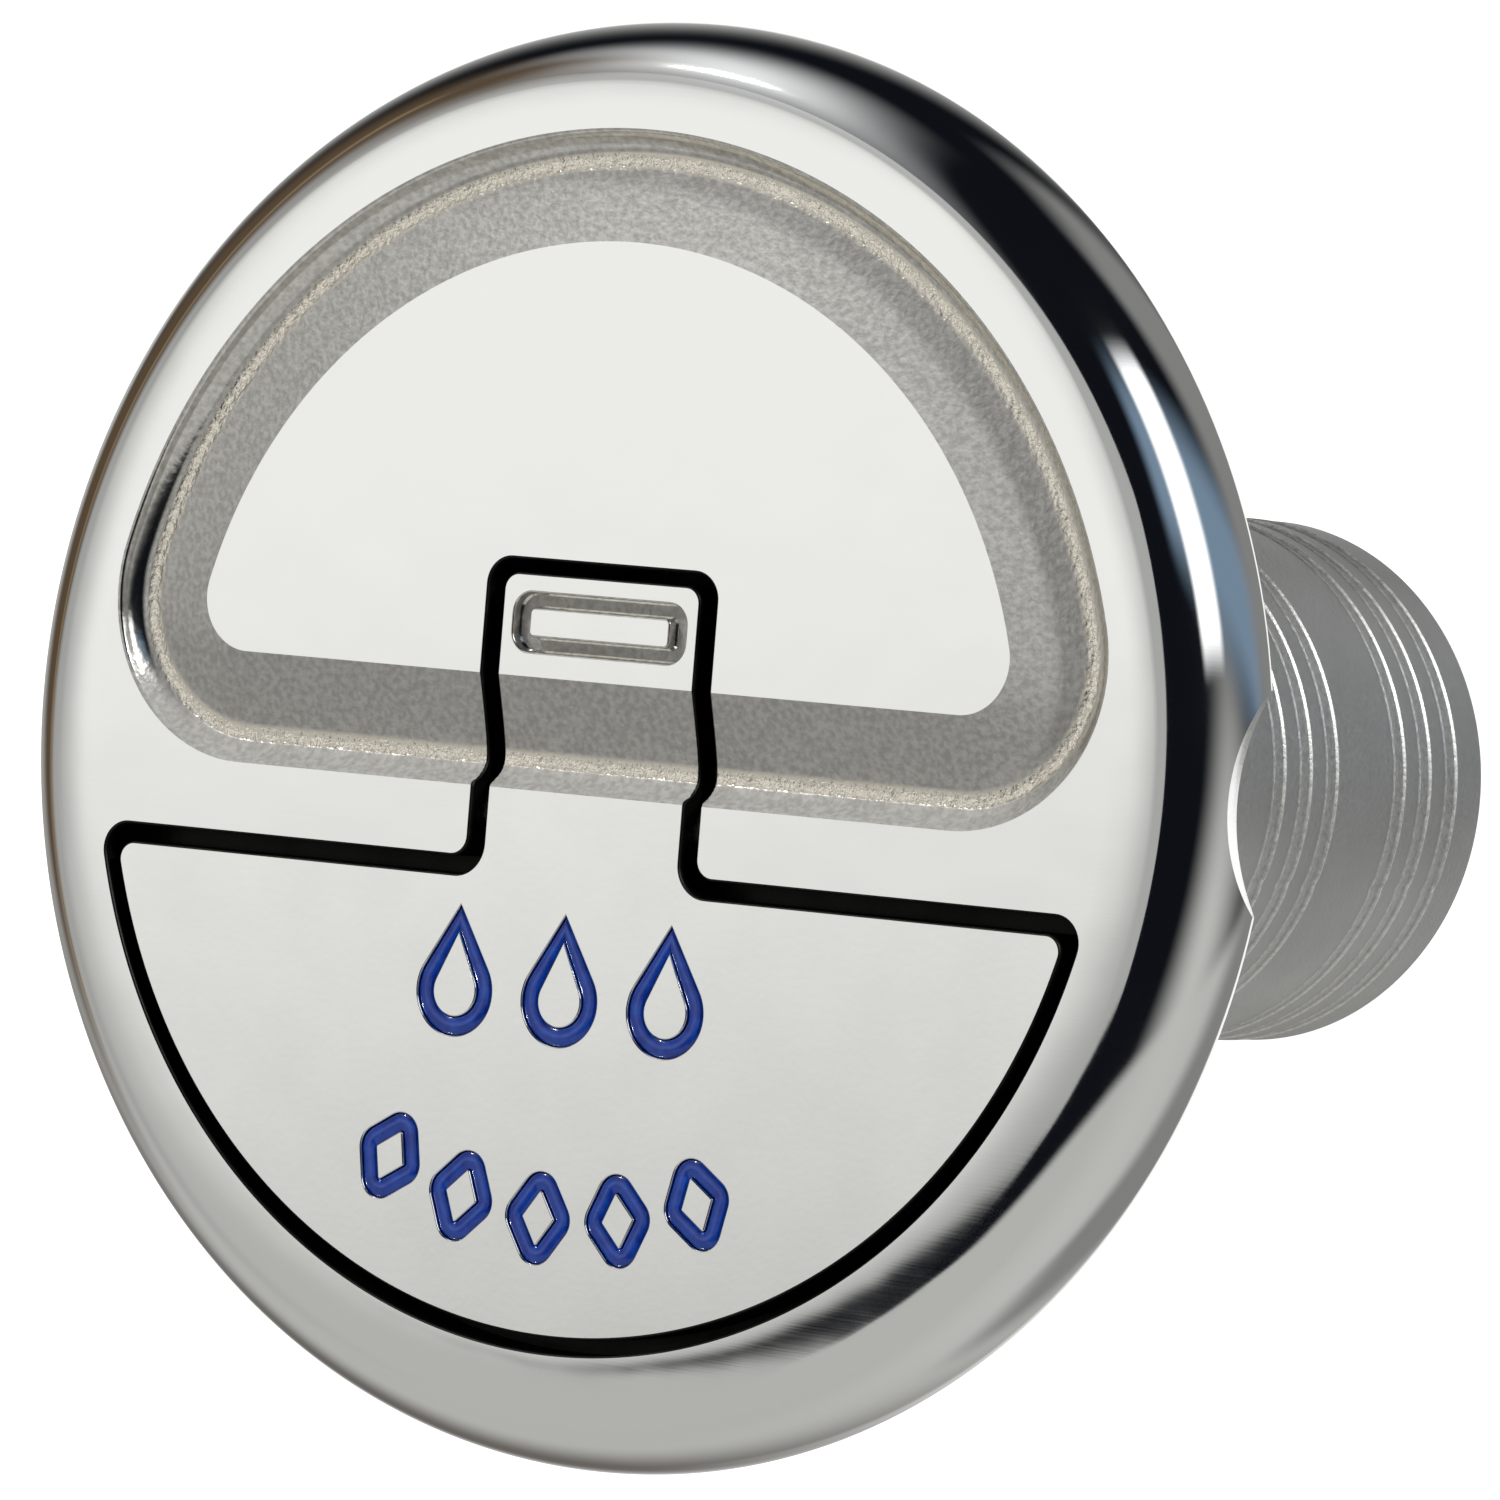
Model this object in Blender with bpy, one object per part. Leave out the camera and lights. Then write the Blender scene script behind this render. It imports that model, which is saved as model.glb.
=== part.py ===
"""Flush deck fill for a 38 mm hose, with a screwed cap and a flip-up handle.

A deck flange with a hose neck is fixed to the deck by countersunk screws. The cap covers the whole
flange and screws into its socket. The cap's half-moon handle lies flush in the face: pushing down
the tongue at its straight edge swings the half-moon up on a hinge pin, to be gripped and turned.
+Z points out of the deck, and the origin is on the neck's axis in the plane of the deck.
"""
import math

import bmesh
import bpy
from mathutils import Matrix

MM = 0.001
FIT = 0.3 * MM
TURN_STEPS = 40
MEDIUM_STEPS = 16
SMALL_STEPS = 12
EAR_STEPS = 10
PIN_STEPS = 24
WIRE_STEPS = 8
SEAL_WIRE_STEPS = 6
LOZENGE_STEPS = 2
ARC_STEP = math.radians(9.0)
SMOOTH_ANGLE = math.radians(30.0)
OVERSHOOT = 1.0 * MM

# Heights above the deck
FACE_Z = 10.6 * MM
GASKET_TOP = 1.2 * MM
FLANGE_BOTTOM = GASKET_TOP + FIT
FLANGE_TOP = FLANGE_BOTTOM + 2.3 * MM
NECK_END = FACE_Z - 86.6 * MM

# Cap disc and its domed rim
CAP_R = 49.0 * MM
RIM_HEIGHT = 8.2 * MM
DOME_WIDTH = 4.5 * MM
DOME_DROP = 7.0 * MM
DOME_STEPS = 6
RIM_EDGE_R = RIM_HEIGHT - DOME_DROP
RIM_INNER_R = 44.6 * MM
RIM_EDGE_STEPS = 2
PLATE_THICK = 5.3 * MM
PLATE_BOTTOM = FACE_Z - PLATE_THICK

# Finger scallop in the rim's lower edge
SCALLOP_R = 15.7 * MM
SCALLOP_REACH = 45.9 * MM
SCALLOP_LEAN = math.radians(25.0)
SCALLOP_LENGTH = 40.0 * MM

# Handle plate and the pocket it lies in
HANDLE_R = 40.0 * MM
HANDLE_EDGE_Y = -9.55 * MM
HANDLE_THICK = 3.6 * MM
HANDLE_END_R = 1.2 * MM
TONGUE_HALF = 8.0 * MM
TONGUE_TIP_Y = 11.1 * MM
TONGUE_TIP_R = 1.2 * MM
TONGUE_ROOT_R = 2.2 * MM
POCKET_R = 40.92 * MM
POCKET_EDGE_Y = -8.35 * MM
POCKET_END_R = 1.8 * MM
POCKET_FLOOR = FACE_Z - HANDLE_THICK - FIT
SLOT_HALF = 9.25 * MM
SLOT_TIP_Y = 12.0 * MM
SLOT_TIP_R = 1.8 * MM
SLOT_ROOT_R = 1.4 * MM
WELL_STEP = 0.05 * MM
WELL_OVERLAP = 0.5 * MM

# Hinge of the handle
PIN_Y = -5.0 * MM
PIN_Z = FACE_Z - 2.6 * MM
PIN_R = 1.25 * MM
PIN_HALF = 13.4 * MM
PIN_BORE_R = PIN_R + 0.25 * MM
HUB_R = 2.6 * MM
HUB_INSET = 0.05 * MM
PIN_BORE_HALF = TONGUE_HALF + 4.0 * MM

# D-shaped groove: (inset from the lip, height from the face)
GROOVE_R = 41.0 * MM
GROOVE_EDGE_Y = -3.15 * MM
GROOVE_CORNER_R = 11.0 * MM
GROOVE_SECTION = (
    (0.0, 0.5), (0.0, -0.15), (0.25, -0.7), (0.8, -1.3), (1.4, -1.6),
    (2.3, -1.55), (3.8, -1.15), (5.6, -0.56), (8.8, 0.5),
)

# Framed pad on the tongue
PAD_Y = 7.8 * MM
PAD_OUTER = (7.0 * MM, 2.0 * MM, 1.4 * MM)
PAD_INNER = (5.7 * MM, 1.0 * MM, 0.4 * MM)
PAD_DEPTH = 0.9 * MM

# Skirt that hangs from the cap into the socket
SKIRT_LAND_R = 21.6 * MM
SKIRT_CORE_R = 20.6 * MM
SKIRT_INNER_R = 17.8 * MM
SKIRT_LAND_Z = -1.0 * MM
SKIRT_END = -14.2 * MM
SKIRT_CHAMFER = 0.6 * MM
O_RING_Z = 1.6 * MM
O_RING_WIRE_R = 1.1 * MM
O_RING_R = SKIRT_LAND_R - 0.8 * MM
O_RING_SEAT_R = O_RING_R - O_RING_WIRE_R - FIT
O_RING_SEAT_HALF = O_RING_WIRE_R + FIT

# Disc that closes the skirt from below, with its ring seal and circlip
DISC_R = 18.2 * MM
DISC_TOP = -8.9 * MM
DISC_THICK = 2.4 * MM
DISC_SEAT_R = DISC_R + FIT
DISC_SEAL_R = 17.75 * MM
DISC_SEAL_WIRE_R = 0.5 * MM
DISC_SEAL_GAP = 0.2 * MM
CIRCLIP_TOP = DISC_TOP - DISC_THICK - FIT
CIRCLIP_THICK = 1.1 * MM
CIRCLIP_OUTER_R = 19.1 * MM
CIRCLIP_INNER_R = 16.4 * MM
CIRCLIP_GAP = math.radians(34.0)
CIRCLIP_EAR_HOLE_R = 0.75 * MM
CIRCLIP_EAR_ANGLE = math.radians(22.0)

# Two-start thread: lead is the rise in one turn
THREAD_LEAD = 8.0 * MM
THREAD_STARTS = 2
THREAD_BASE = 2.0 * MM
THREAD_CREST = 1.2 * MM
THREAD_HEIGHT = 1.2 * MM
THREAD_ROOT_SINK = 0.3 * MM
MALE_TOP = -2.2 * MM
MALE_BOTTOM = -9.4 * MM
FEMALE_TOP = -2.6 * MM
FEMALE_BOTTOM = -11.6 * MM

# Flange, socket and neck
FLANGE_R = 43.6 * MM
FLANGE_EDGE = 0.6 * MM
SOCKET_R = SKIRT_CORE_R + 1.6 * MM
SOCKET_END = -15.2 * MM
SOCKET_MOUTH = 0.6 * MM
BOSS_R = 24.8 * MM
BOSS_END = -16.0 * MM
BOSS_CONE_END = -23.0 * MM
NECK_R = 19.0 * MM
NECK_BORE_R = 17.0 * MM
NECK_CONE_END = -20.6 * MM
NECK_EDGE = 0.4 * MM
NECK_GROOVE_DEPTHS = (58.1, 61.7, 65.3, 74.7, 78.3, 82.0)
NECK_GROOVE_HALF = 0.75 * MM
NECK_GROOVE_FLOOR_HALF = 0.6 * MM
NECK_GROOVE_SINK = 0.45 * MM

# Fixings, gaskets and small trim
SCREW_COUNT = 6
SCREW_CIRCLE_R = 34.5 * MM
SCREW_HEAD_R = 4.5 * MM
SCREW_SHANK_R = 2.3 * MM
SCREW_LENGTH = 20.0 * MM
SCREW_HEAD_DROP = 2.2 * MM
SCREW_TOP_GAP = 0.1 * MM
SCREW_TIP = 3.0 * MM
GASKET_INNER_R = 25.1 * MM
GASKET_OUTER_R = 43.0 * MM
SEAT_INNER_R = 24.5 * MM
SEAT_OUTER_R = 29.3 * MM
SEAT_THICK = 0.9 * MM
BUMPER_X = 22.0 * MM
BUMPER_Y = -22.0 * MM
BUMPER_R = 2.2 * MM
BUMPER_SINK = 0.9 * MM
BUMPER_TOP_GAP = 0.15 * MM
BUMPER_CHAMFER_RISE = 0.15 * MM
BUMPER_CHAMFER_RUN = 0.3 * MM
KEEPER_THICK = 0.9 * MM
KEEPER_INNER_X = 9.6 * MM
KEEPER_OUTER_X = 14.2 * MM
KEEPER_FOOT_X = 11.4 * MM
KEEPER_BRIDGE_Y = (-12.6 * MM, -9.4 * MM)
KEEPER_TOP_Y = 4.4 * MM
KEEPER_FINGER_HALF = 3.0 * MM
KEEPER_FINGER_TIP_Y = -6.6 * MM
KEEPER_FINGER_RISE = 0.4 * MM
KEEPER_FINGER_ROOT = 0.5 * MM
KEEPER_FINGER_THIN = 0.1 * MM
KEEPER_TAB_INNER_X = 10.0 * MM
KEEPER_TAB_OUTER_X = 13.2 * MM
KEEPER_TAB_HALF = 1.0 * MM
KEEPER_TAB_ROOT = 0.4 * MM
KEEPER_SCREW_Y = (-1.2 * MM, 2.6 * MM)
KEEPER_SCREW_R = 1.0 * MM
KEEPER_SCREW_DEPTH = 2.4 * MM
KEEPER_HEAD_R = 1.7 * MM
KEEPER_HEAD_HEIGHT = 1.1 * MM
KEEPER_HEAD_TAPER = 0.7

# Enamelled marks on the handle: plain drops and lozenges
MARK_STROKE = 1.3 * MM
MARK_SINK = 0.5 * MM
MARK_FIT = 0.12 * MM
ENAMEL_DROP = 0.05 * MM
MARK_CENTRE_X = -0.8 * MM
DROP_ROW_Y = -17.4 * MM
DROP_PITCH = 8.6 * MM
DROP_COUNT = 3
DROP_R = 2.4 * MM
DROP_TAIL = 4.9 * MM
DROP_TAIL_GROW = 1.4
DROP_STEPS = 16
LOZENGE_ROW_R = 32.0 * MM
LOZENGE_ROW_MID = math.radians(-92.0)
LOZENGE_ROW_STEP = math.radians(11.6)
LOZENGE_COUNT = 5
LOZENGE_HALF_X = 2.1 * MM
LOZENGE_HALF_Y = 3.1 * MM
LOZENGE_CORNER_R = 0.8 * MM


# ---------------------------------------------------------------- helpers

def clear_scene():
    for obj in list(bpy.data.objects):
        bpy.data.objects.remove(obj, do_unlink=True)


def linear(channel):
    if channel <= 0.04045:
        return channel / 12.92
    return ((channel + 0.055) / 1.055) ** 2.4


def material(name, hex_colour, metallic, roughness):
    mat = bpy.data.materials.new(name)
    mat.use_nodes = True
    shader = mat.node_tree.nodes["Principled BSDF"]
    rgb = [linear(int(hex_colour[i:i + 2], 16) / 255.0) for i in (0, 2, 4)]
    shader.inputs["Base Color"].default_value = (*rgb, 1.0)
    shader.inputs["Metallic"].default_value = metallic
    shader.inputs["Roughness"].default_value = roughness
    return mat


def add_object(name, bm, mat, cutter=False):
    bmesh.ops.recalc_face_normals(bm, faces=bm.faces)
    mesh = bpy.data.meshes.new(name)
    bm.to_mesh(mesh)
    bm.free()
    obj = bpy.data.objects.new(name, mesh)
    bpy.context.scene.collection.objects.link(obj)
    if cutter:
        obj.display_type = "WIRE"
        obj.hide_render = True
        return obj
    mesh.materials.append(mat)
    mesh.shade_smooth()
    mesh.set_sharp_from_angle(angle=SMOOTH_ANGLE)
    return obj


def add_copies(name, first, places):
    """Put an object at the first place and copies that share its mesh at the others."""
    for i, (x, y) in enumerate(places):
        obj = first
        if i > 0:
            obj = bpy.data.objects.new(name, first.data)
            bpy.context.scene.collection.objects.link(obj)
        obj.name = f"{name}_{i + 1}"
        obj.location = (x, y, 0.0)


def boolean(obj, other, operation):
    mod = obj.modifiers.new(operation.title() + " " + other.name, "BOOLEAN")
    mod.object = other
    mod.operation = operation
    mod.solver = "EXACT"


def cut(obj, *cutters):
    for cutter in cutters:
        boolean(obj, cutter, "DIFFERENCE")


def join(obj, *pieces):
    for piece in pieces:
        boolean(obj, piece, "UNION")


def arc(x, y, radius, start, end, steps=None):
    """Points along an arc, in degrees, both ends included."""
    if steps is None:
        steps = max(2, math.ceil(abs(math.radians(end - start)) / ARC_STEP))
    angles = [math.radians(start + (end - start) * i / steps) for i in range(steps + 1)]
    return [(x + radius * math.cos(a), y + radius * math.sin(a)) for a in angles]


def rounded_box(half_x, half_y, radius, x=0.0, y=0.0):
    """Outline of a rectangle with round corners."""
    right, top = x + half_x - radius, y + half_y - radius
    left, bottom = x - half_x + radius, y - half_y + radius
    return (arc(right, bottom, radius, -90, 0) + arc(right, top, radius, 0, 90)
            + arc(left, top, radius, 90, 180) + arc(left, bottom, radius, 180, 270))


def turned(bm, profile, steps=TURN_STEPS, x=0.0, y=0.0):
    """Closed (radius, z) profile turned about a vertical axis through (x, y)."""
    rings = []
    for i in range(steps):
        angle = 2 * math.pi * i / steps
        ring = []
        for j, (radius, z) in enumerate(profile):
            if radius == 0.0 and i > 0:
                ring.append(rings[0][j])
                continue
            ring.append(bm.verts.new((x + radius * math.cos(angle), y + radius * math.sin(angle), z)))
        rings.append(ring)
    for i in range(steps):
        here, there = rings[i], rings[(i + 1) % steps]
        for j in range(len(profile)):
            k = (j + 1) % len(profile)
            corners = []
            for vert in (here[j], here[k], there[k], there[j]):
                if vert not in corners:
                    corners.append(vert)
            if len(corners) > 2:
                bm.faces.new(corners)


def prism(bm, outline, bottom, top):
    """Closed solid with a vertical wall along an outline."""
    lower = [bm.verts.new((x, y, bottom)) for x, y in outline]
    upper = [bm.verts.new((x, y, top)) for x, y in outline]
    bm.faces.new(lower[::-1])
    bm.faces.new(upper)
    for i in range(len(outline)):
        k = (i + 1) % len(outline)
        bm.faces.new((lower[i], lower[k], upper[k], upper[i]))


def ring_solid(bm, loops):
    """Closed ring-shaped solid through loops of (x, y, z) points, all of one length."""
    rows = [[bm.verts.new(point) for point in loop] for loop in loops]
    for row, following in zip(rows, rows[1:] + rows[:1]):
        for i in range(len(row)):
            k = (i + 1) % len(row)
            bm.faces.new((row[i], row[k], following[k], following[i]))


def band(bm, outer, inner, bottom, top):
    """Ring-shaped plate between two outlines with the same number of points."""
    ring_solid(bm, [
        [(x, y, bottom) for x, y in outer],
        [(x, y, top) for x, y in outer],
        [(x, y, top) for x, y in inner],
        [(x, y, bottom) for x, y in inner],
    ])


def bar_x(bm, half_length, section):
    """Closed bar along X, centred on x = 0, with a (y, z) section."""
    left = [bm.verts.new((-half_length, y, z)) for y, z in section]
    right = [bm.verts.new((half_length, y, z)) for y, z in section]
    bm.faces.new(left)
    bm.faces.new(right[::-1])
    for i in range(len(section)):
        k = (i + 1) % len(section)
        bm.faces.new((left[i], left[k], right[k], right[i]))


def drilled(bm, radius, bottom, top, x, y, steps):
    """Upright round bar that stands for a hole or shank."""
    turned(bm, [(0.0, bottom), (radius, bottom), (radius, top), (0.0, top)], steps, x, y)


def box(bm, low, high):
    prism(bm, [(low[0], low[1]), (high[0], low[1]), (high[0], high[1]), (low[0], high[1])],
          low[2], high[2])


def rod_x(bm, radius, half_length, y, z):
    """Cylinder along X, centred on x = 0."""
    place = Matrix.Translation((0.0, y, z)) @ Matrix.Rotation(math.pi / 2, 4, "Y")
    bmesh.ops.create_cone(bm, cap_ends=True, segments=PIN_STEPS, radius1=radius, radius2=radius,
                          depth=2 * half_length, matrix=place)


def wire_ring(bm, radius, wire_r, z, wire_steps):
    """Ring of round wire."""
    section = []
    for i in range(wire_steps):
        angle = 2 * math.pi * i / wire_steps
        section.append((radius + wire_r * math.cos(angle), z + wire_r * math.sin(angle)))
    turned(bm, section)


def helical_ridge(bm, root_r, height, top, bottom, start_angle):
    """One thread ridge; a negative height makes it point inwards."""
    outward = math.copysign(1.0, height)
    sunk_r = root_r - outward * THREAD_ROOT_SINK
    crest_r = root_r + height
    section = ((sunk_r, -THREAD_BASE / 2), (root_r, -THREAD_BASE / 2), (crest_r, -THREAD_CREST / 2),
               (crest_r, THREAD_CREST / 2), (root_r, THREAD_BASE / 2), (sunk_r, THREAD_BASE / 2))
    turn = 2 * math.pi * (top - bottom) / THREAD_LEAD
    steps = math.ceil(turn / (2 * math.pi) * TURN_STEPS)
    rows = []
    for i in range(steps + 1):
        angle = start_angle + turn * i / steps
        z = bottom + (top - bottom) * i / steps
        rows.append([bm.verts.new((r * math.cos(angle), r * math.sin(angle), z + dz))
                     for r, dz in section])
    for row, following in zip(rows, rows[1:]):
        for i in range(len(row)):
            k = (i + 1) % len(row)
            bm.faces.new((row[i], row[k], following[k], following[i]))
    bm.faces.new(rows[0])
    bm.faces.new(rows[-1][::-1])


def thread(name, root_r, height, top, bottom, phase):
    """Both starts of a thread, as a guide object to be joined to a wall."""
    bm = bmesh.new()
    for start in range(THREAD_STARTS):
        angle = 2 * math.pi * (start / THREAD_STARTS + (bottom - phase) / THREAD_LEAD)
        helical_ridge(bm, root_r, height, top, bottom, angle)
    return add_object(name, bm, None, cutter=True)


def half_moon(radius, edge_y, end_r, half, tip_y, tip_r, root_r):
    """Outline of the half-moon with its tongue, anticlockwise."""
    end_y = edge_y - end_r
    end_x = math.sqrt((radius - end_r) ** 2 - end_y ** 2)
    lean = math.degrees(math.atan2(end_y, end_x))
    return (arc(0, 0, radius, 180 - lean, 360 + lean)
            + arc(end_x, end_y, end_r, lean, 90)[1:]
            + arc(half + root_r, edge_y + root_r, root_r, 270, 180)
            + arc(half - tip_r, tip_y - tip_r, tip_r, 0, 90)
            + arc(tip_r - half, tip_y - tip_r, tip_r, 90, 180)
            + arc(-half - root_r, edge_y + root_r, root_r, 0, -90)
            + arc(-end_x, end_y, end_r, 90, 180 - lean)[:-1])


def groove_outline(inset):
    """Outline of the D, moved inwards by inset."""
    corner = GROOVE_CORNER_R - inset
    corner_y = GROOVE_EDGE_Y + GROOVE_CORNER_R
    corner_x = math.sqrt((GROOVE_R - GROOVE_CORNER_R) ** 2 - corner_y ** 2)
    lean = math.degrees(math.atan2(corner_y, corner_x))
    return (arc(corner_x, corner_y, corner, -90, lean)
            + arc(0, 0, GROOVE_R - inset, lean, 180 - lean)[1:]
            + arc(-corner_x, corner_y, corner, 180 - lean, 270)[1:])


def screw_places():
    for i in range(SCREW_COUNT):
        angle = 2 * math.pi * (i + 0.5) / SCREW_COUNT
        yield SCREW_CIRCLE_R * math.cos(angle), SCREW_CIRCLE_R * math.sin(angle)


def drop_outline(offset, x):
    """Water-drop outline, moved outwards by offset from its centre line."""
    radius = DROP_R + offset
    tail = DROP_TAIL + DROP_TAIL_GROW * offset
    lean = math.degrees(math.acos(radius / tail))
    return arc(x, DROP_ROW_Y, radius, 90 + lean, 450 - lean, DROP_STEPS) + [(x, DROP_ROW_Y + tail)]


def lozenge_outline(offset, place):
    """Lozenge outline with round corners, moved outwards by offset from its centre line."""
    slant = math.hypot(LOZENGE_HALF_X, LOZENGE_HALF_Y)
    grow = offset * slant
    half_x = LOZENGE_HALF_X + grow / LOZENGE_HALF_Y
    half_y = LOZENGE_HALF_Y + grow / LOZENGE_HALF_X
    radius = LOZENGE_CORNER_R + offset
    lean = math.degrees(math.atan2(LOZENGE_HALF_X, LOZENGE_HALF_Y))
    in_x = half_x - radius / math.cos(math.radians(lean))
    in_y = half_y - radius / math.sin(math.radians(lean))
    points = (arc(in_x, 0, radius, -lean, lean, LOZENGE_STEPS)
              + arc(0, in_y, radius, lean, 180 - lean, LOZENGE_STEPS)
              + arc(-in_x, 0, radius, 180 - lean, 180 + lean, LOZENGE_STEPS)
              + arc(0, -in_y, radius, 180 + lean, 360 - lean, LOZENGE_STEPS))
    return [(place @ Matrix.Translation((px, py, 0.0))).to_translation().xy for px, py in points]


def mark_bands(shrink):
    """Name, outer outline and inner outline of every mark's stroke, thinned by shrink a side."""
    half = MARK_STROKE / 2 - shrink
    for i in range(DROP_COUNT):
        x = MARK_CENTRE_X + (i - (DROP_COUNT - 1) / 2) * DROP_PITCH
        yield f"enamel_drop_{i + 1}", drop_outline(half, x), drop_outline(-half, x)
    for i in range(LOZENGE_COUNT):
        angle = LOZENGE_ROW_MID + (i - (LOZENGE_COUNT - 1) / 2) * LOZENGE_ROW_STEP
        place = (Matrix.Rotation(angle + math.pi / 2, 4, "Z")
                 @ Matrix.Translation((0.0, -LOZENGE_ROW_R, 0.0)))
        outer, inner = lozenge_outline(half, place), lozenge_outline(-half, place)
        yield f"enamel_lozenge_{i + 1}", outer, inner


# ---------------------------------------------------------------- cutters

def groove_cutter():
    bm = bmesh.new()
    loops = []
    for inset, height in GROOVE_SECTION:
        loops.append([(x, y, FACE_Z + height * MM) for x, y in groove_outline(inset * MM)])
    ring_solid(bm, loops)
    return add_object("groove cutter", bm, None, cutter=True)


def pocket_cutters():
    """Flat-floored pocket for the handle, and the tongue's well that goes right through."""
    bm = bmesh.new()
    prism(bm, half_moon(POCKET_R, POCKET_EDGE_Y, POCKET_END_R, SLOT_HALF, SLOT_TIP_Y, SLOT_TIP_R,
                        SLOT_ROOT_R), POCKET_FLOOR, FACE_Z + OVERSHOOT)
    pocket = add_object("pocket cutter", bm, None, cutter=True)
    bm = bmesh.new()
    half_y = (SLOT_TIP_Y - POCKET_EDGE_Y) / 2 - WELL_STEP
    outline = rounded_box(SLOT_HALF - WELL_STEP, half_y, SLOT_TIP_R, 0.0,
                          (SLOT_TIP_Y + POCKET_EDGE_Y) / 2)
    prism(bm, outline, PLATE_BOTTOM - OVERSHOOT, POCKET_FLOOR + WELL_OVERLAP)
    slot = add_object("slot cutter", bm, None, cutter=True)
    return pocket, slot


def pin_seat_cutter():
    """Slots in the plate's underside that the pin's ends are pushed up into."""
    foot = PLATE_BOTTOM - OVERSHOOT
    section = arc(PIN_Y, PIN_Z, PIN_BORE_R, 0, 180)
    section += [(PIN_Y - PIN_BORE_R, foot), (PIN_Y + PIN_BORE_R, foot)]
    bm = bmesh.new()
    bar_x(bm, PIN_HALF + FIT, section)
    return add_object("pin seat cutter", bm, None, cutter=True)


def scallop_cutter():
    bm = bmesh.new()
    lean = Matrix.Rotation(SCALLOP_LEAN, 4, "Y")
    foot = Matrix.Translation((SCALLOP_REACH, 0.0, FACE_Z - RIM_HEIGHT))
    place = foot @ lean @ Matrix.Translation((SCALLOP_R, 0.0, 0.0))
    bmesh.ops.create_cone(bm, cap_ends=True, segments=TURN_STEPS, radius1=SCALLOP_R,
                          radius2=SCALLOP_R, depth=SCALLOP_LENGTH, matrix=place)
    return add_object("scallop cutter", bm, None, cutter=True)


def underside_hole_cutter():
    """Threaded holes for the keeper's screws."""
    bm = bmesh.new()
    radius = KEEPER_SCREW_R + FIT
    for x, y in keeper_screw_places():
        drilled(bm, radius, PLATE_BOTTOM - OVERSHOOT, PLATE_BOTTOM + KEEPER_SCREW_DEPTH + FIT, x, y,
                SMALL_STEPS)
    return add_object("keeper hole cutter", bm, None, cutter=True)


def bumper_seat_cutter():
    bm = bmesh.new()
    radius = BUMPER_R + FIT
    for side in (-1, 1):
        drilled(bm, radius, POCKET_FLOOR - BUMPER_SINK, POCKET_FLOOR + OVERSHOOT, side * BUMPER_X,
                BUMPER_Y, MEDIUM_STEPS)
    return add_object("bumper seat cutter", bm, None, cutter=True)


def keeper_screw_places():
    for side in (-1, 1):
        for y in KEEPER_SCREW_Y:
            yield side * (KEEPER_INNER_X + KEEPER_OUTER_X) / 2, y


# ---------------------------------------------------------------- cap

def cap_profile():
    dome_r = CAP_R - DOME_WIDTH
    dome_z = FACE_Z - DOME_DROP
    points = [(0.0, FACE_Z)]
    for i in range(DOME_STEPS + 1):
        angle = math.pi / 2 * (1 - i / DOME_STEPS)
        points.append((dome_r + DOME_WIDTH * math.cos(angle), dome_z + DOME_DROP * math.sin(angle)))
    points += arc(CAP_R - RIM_EDGE_R, dome_z, RIM_EDGE_R, 0, -90, RIM_EDGE_STEPS)[1:]
    points += [
        (RIM_INNER_R, FACE_Z - RIM_HEIGHT),
        (RIM_INNER_R, PLATE_BOTTOM),
        (SKIRT_LAND_R, PLATE_BOTTOM),
        (SKIRT_LAND_R, O_RING_Z + O_RING_SEAT_HALF),
        (O_RING_SEAT_R, O_RING_Z + O_RING_SEAT_HALF),
        (O_RING_SEAT_R, O_RING_Z - O_RING_SEAT_HALF),
        (SKIRT_LAND_R, O_RING_Z - O_RING_SEAT_HALF),
        (SKIRT_LAND_R, SKIRT_LAND_Z),
        (SKIRT_CORE_R, SKIRT_LAND_Z),
        (SKIRT_CORE_R, SKIRT_END + SKIRT_CHAMFER),
        (SKIRT_CORE_R - SKIRT_CHAMFER, SKIRT_END),
        (DISC_SEAT_R, SKIRT_END),
        (DISC_SEAT_R, CIRCLIP_TOP - CIRCLIP_THICK - FIT),
        (CIRCLIP_OUTER_R + FIT, CIRCLIP_TOP - CIRCLIP_THICK - FIT),
        (CIRCLIP_OUTER_R + FIT, CIRCLIP_TOP + FIT / 2),
        (DISC_SEAT_R, CIRCLIP_TOP + FIT / 2),
        (DISC_SEAT_R, DISC_TOP + FIT),
        (SKIRT_INNER_R, DISC_TOP + FIT),
        (SKIRT_INNER_R, PLATE_BOTTOM),
        (0.0, PLATE_BOTTOM),
    ]
    return points


def make_cap_cover(groove):
    """Cast disc with domed rim, D groove, handle pocket and threaded skirt."""
    steel = material("polished_steel", "D9DADB", 1.0, 0.08)
    bm = bmesh.new()
    turned(bm, cap_profile())
    cover = add_object("cap_cover", bm, steel)
    join(cover, thread("male thread", SKIRT_CORE_R, THREAD_HEIGHT, MALE_TOP, MALE_BOTTOM, 0.0))
    pocket, slot = pocket_cutters()
    cut(cover, groove, pocket, slot, pin_seat_cutter(), scallop_cutter(), underside_hole_cutter(),
        bumper_seat_cutter())


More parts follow.
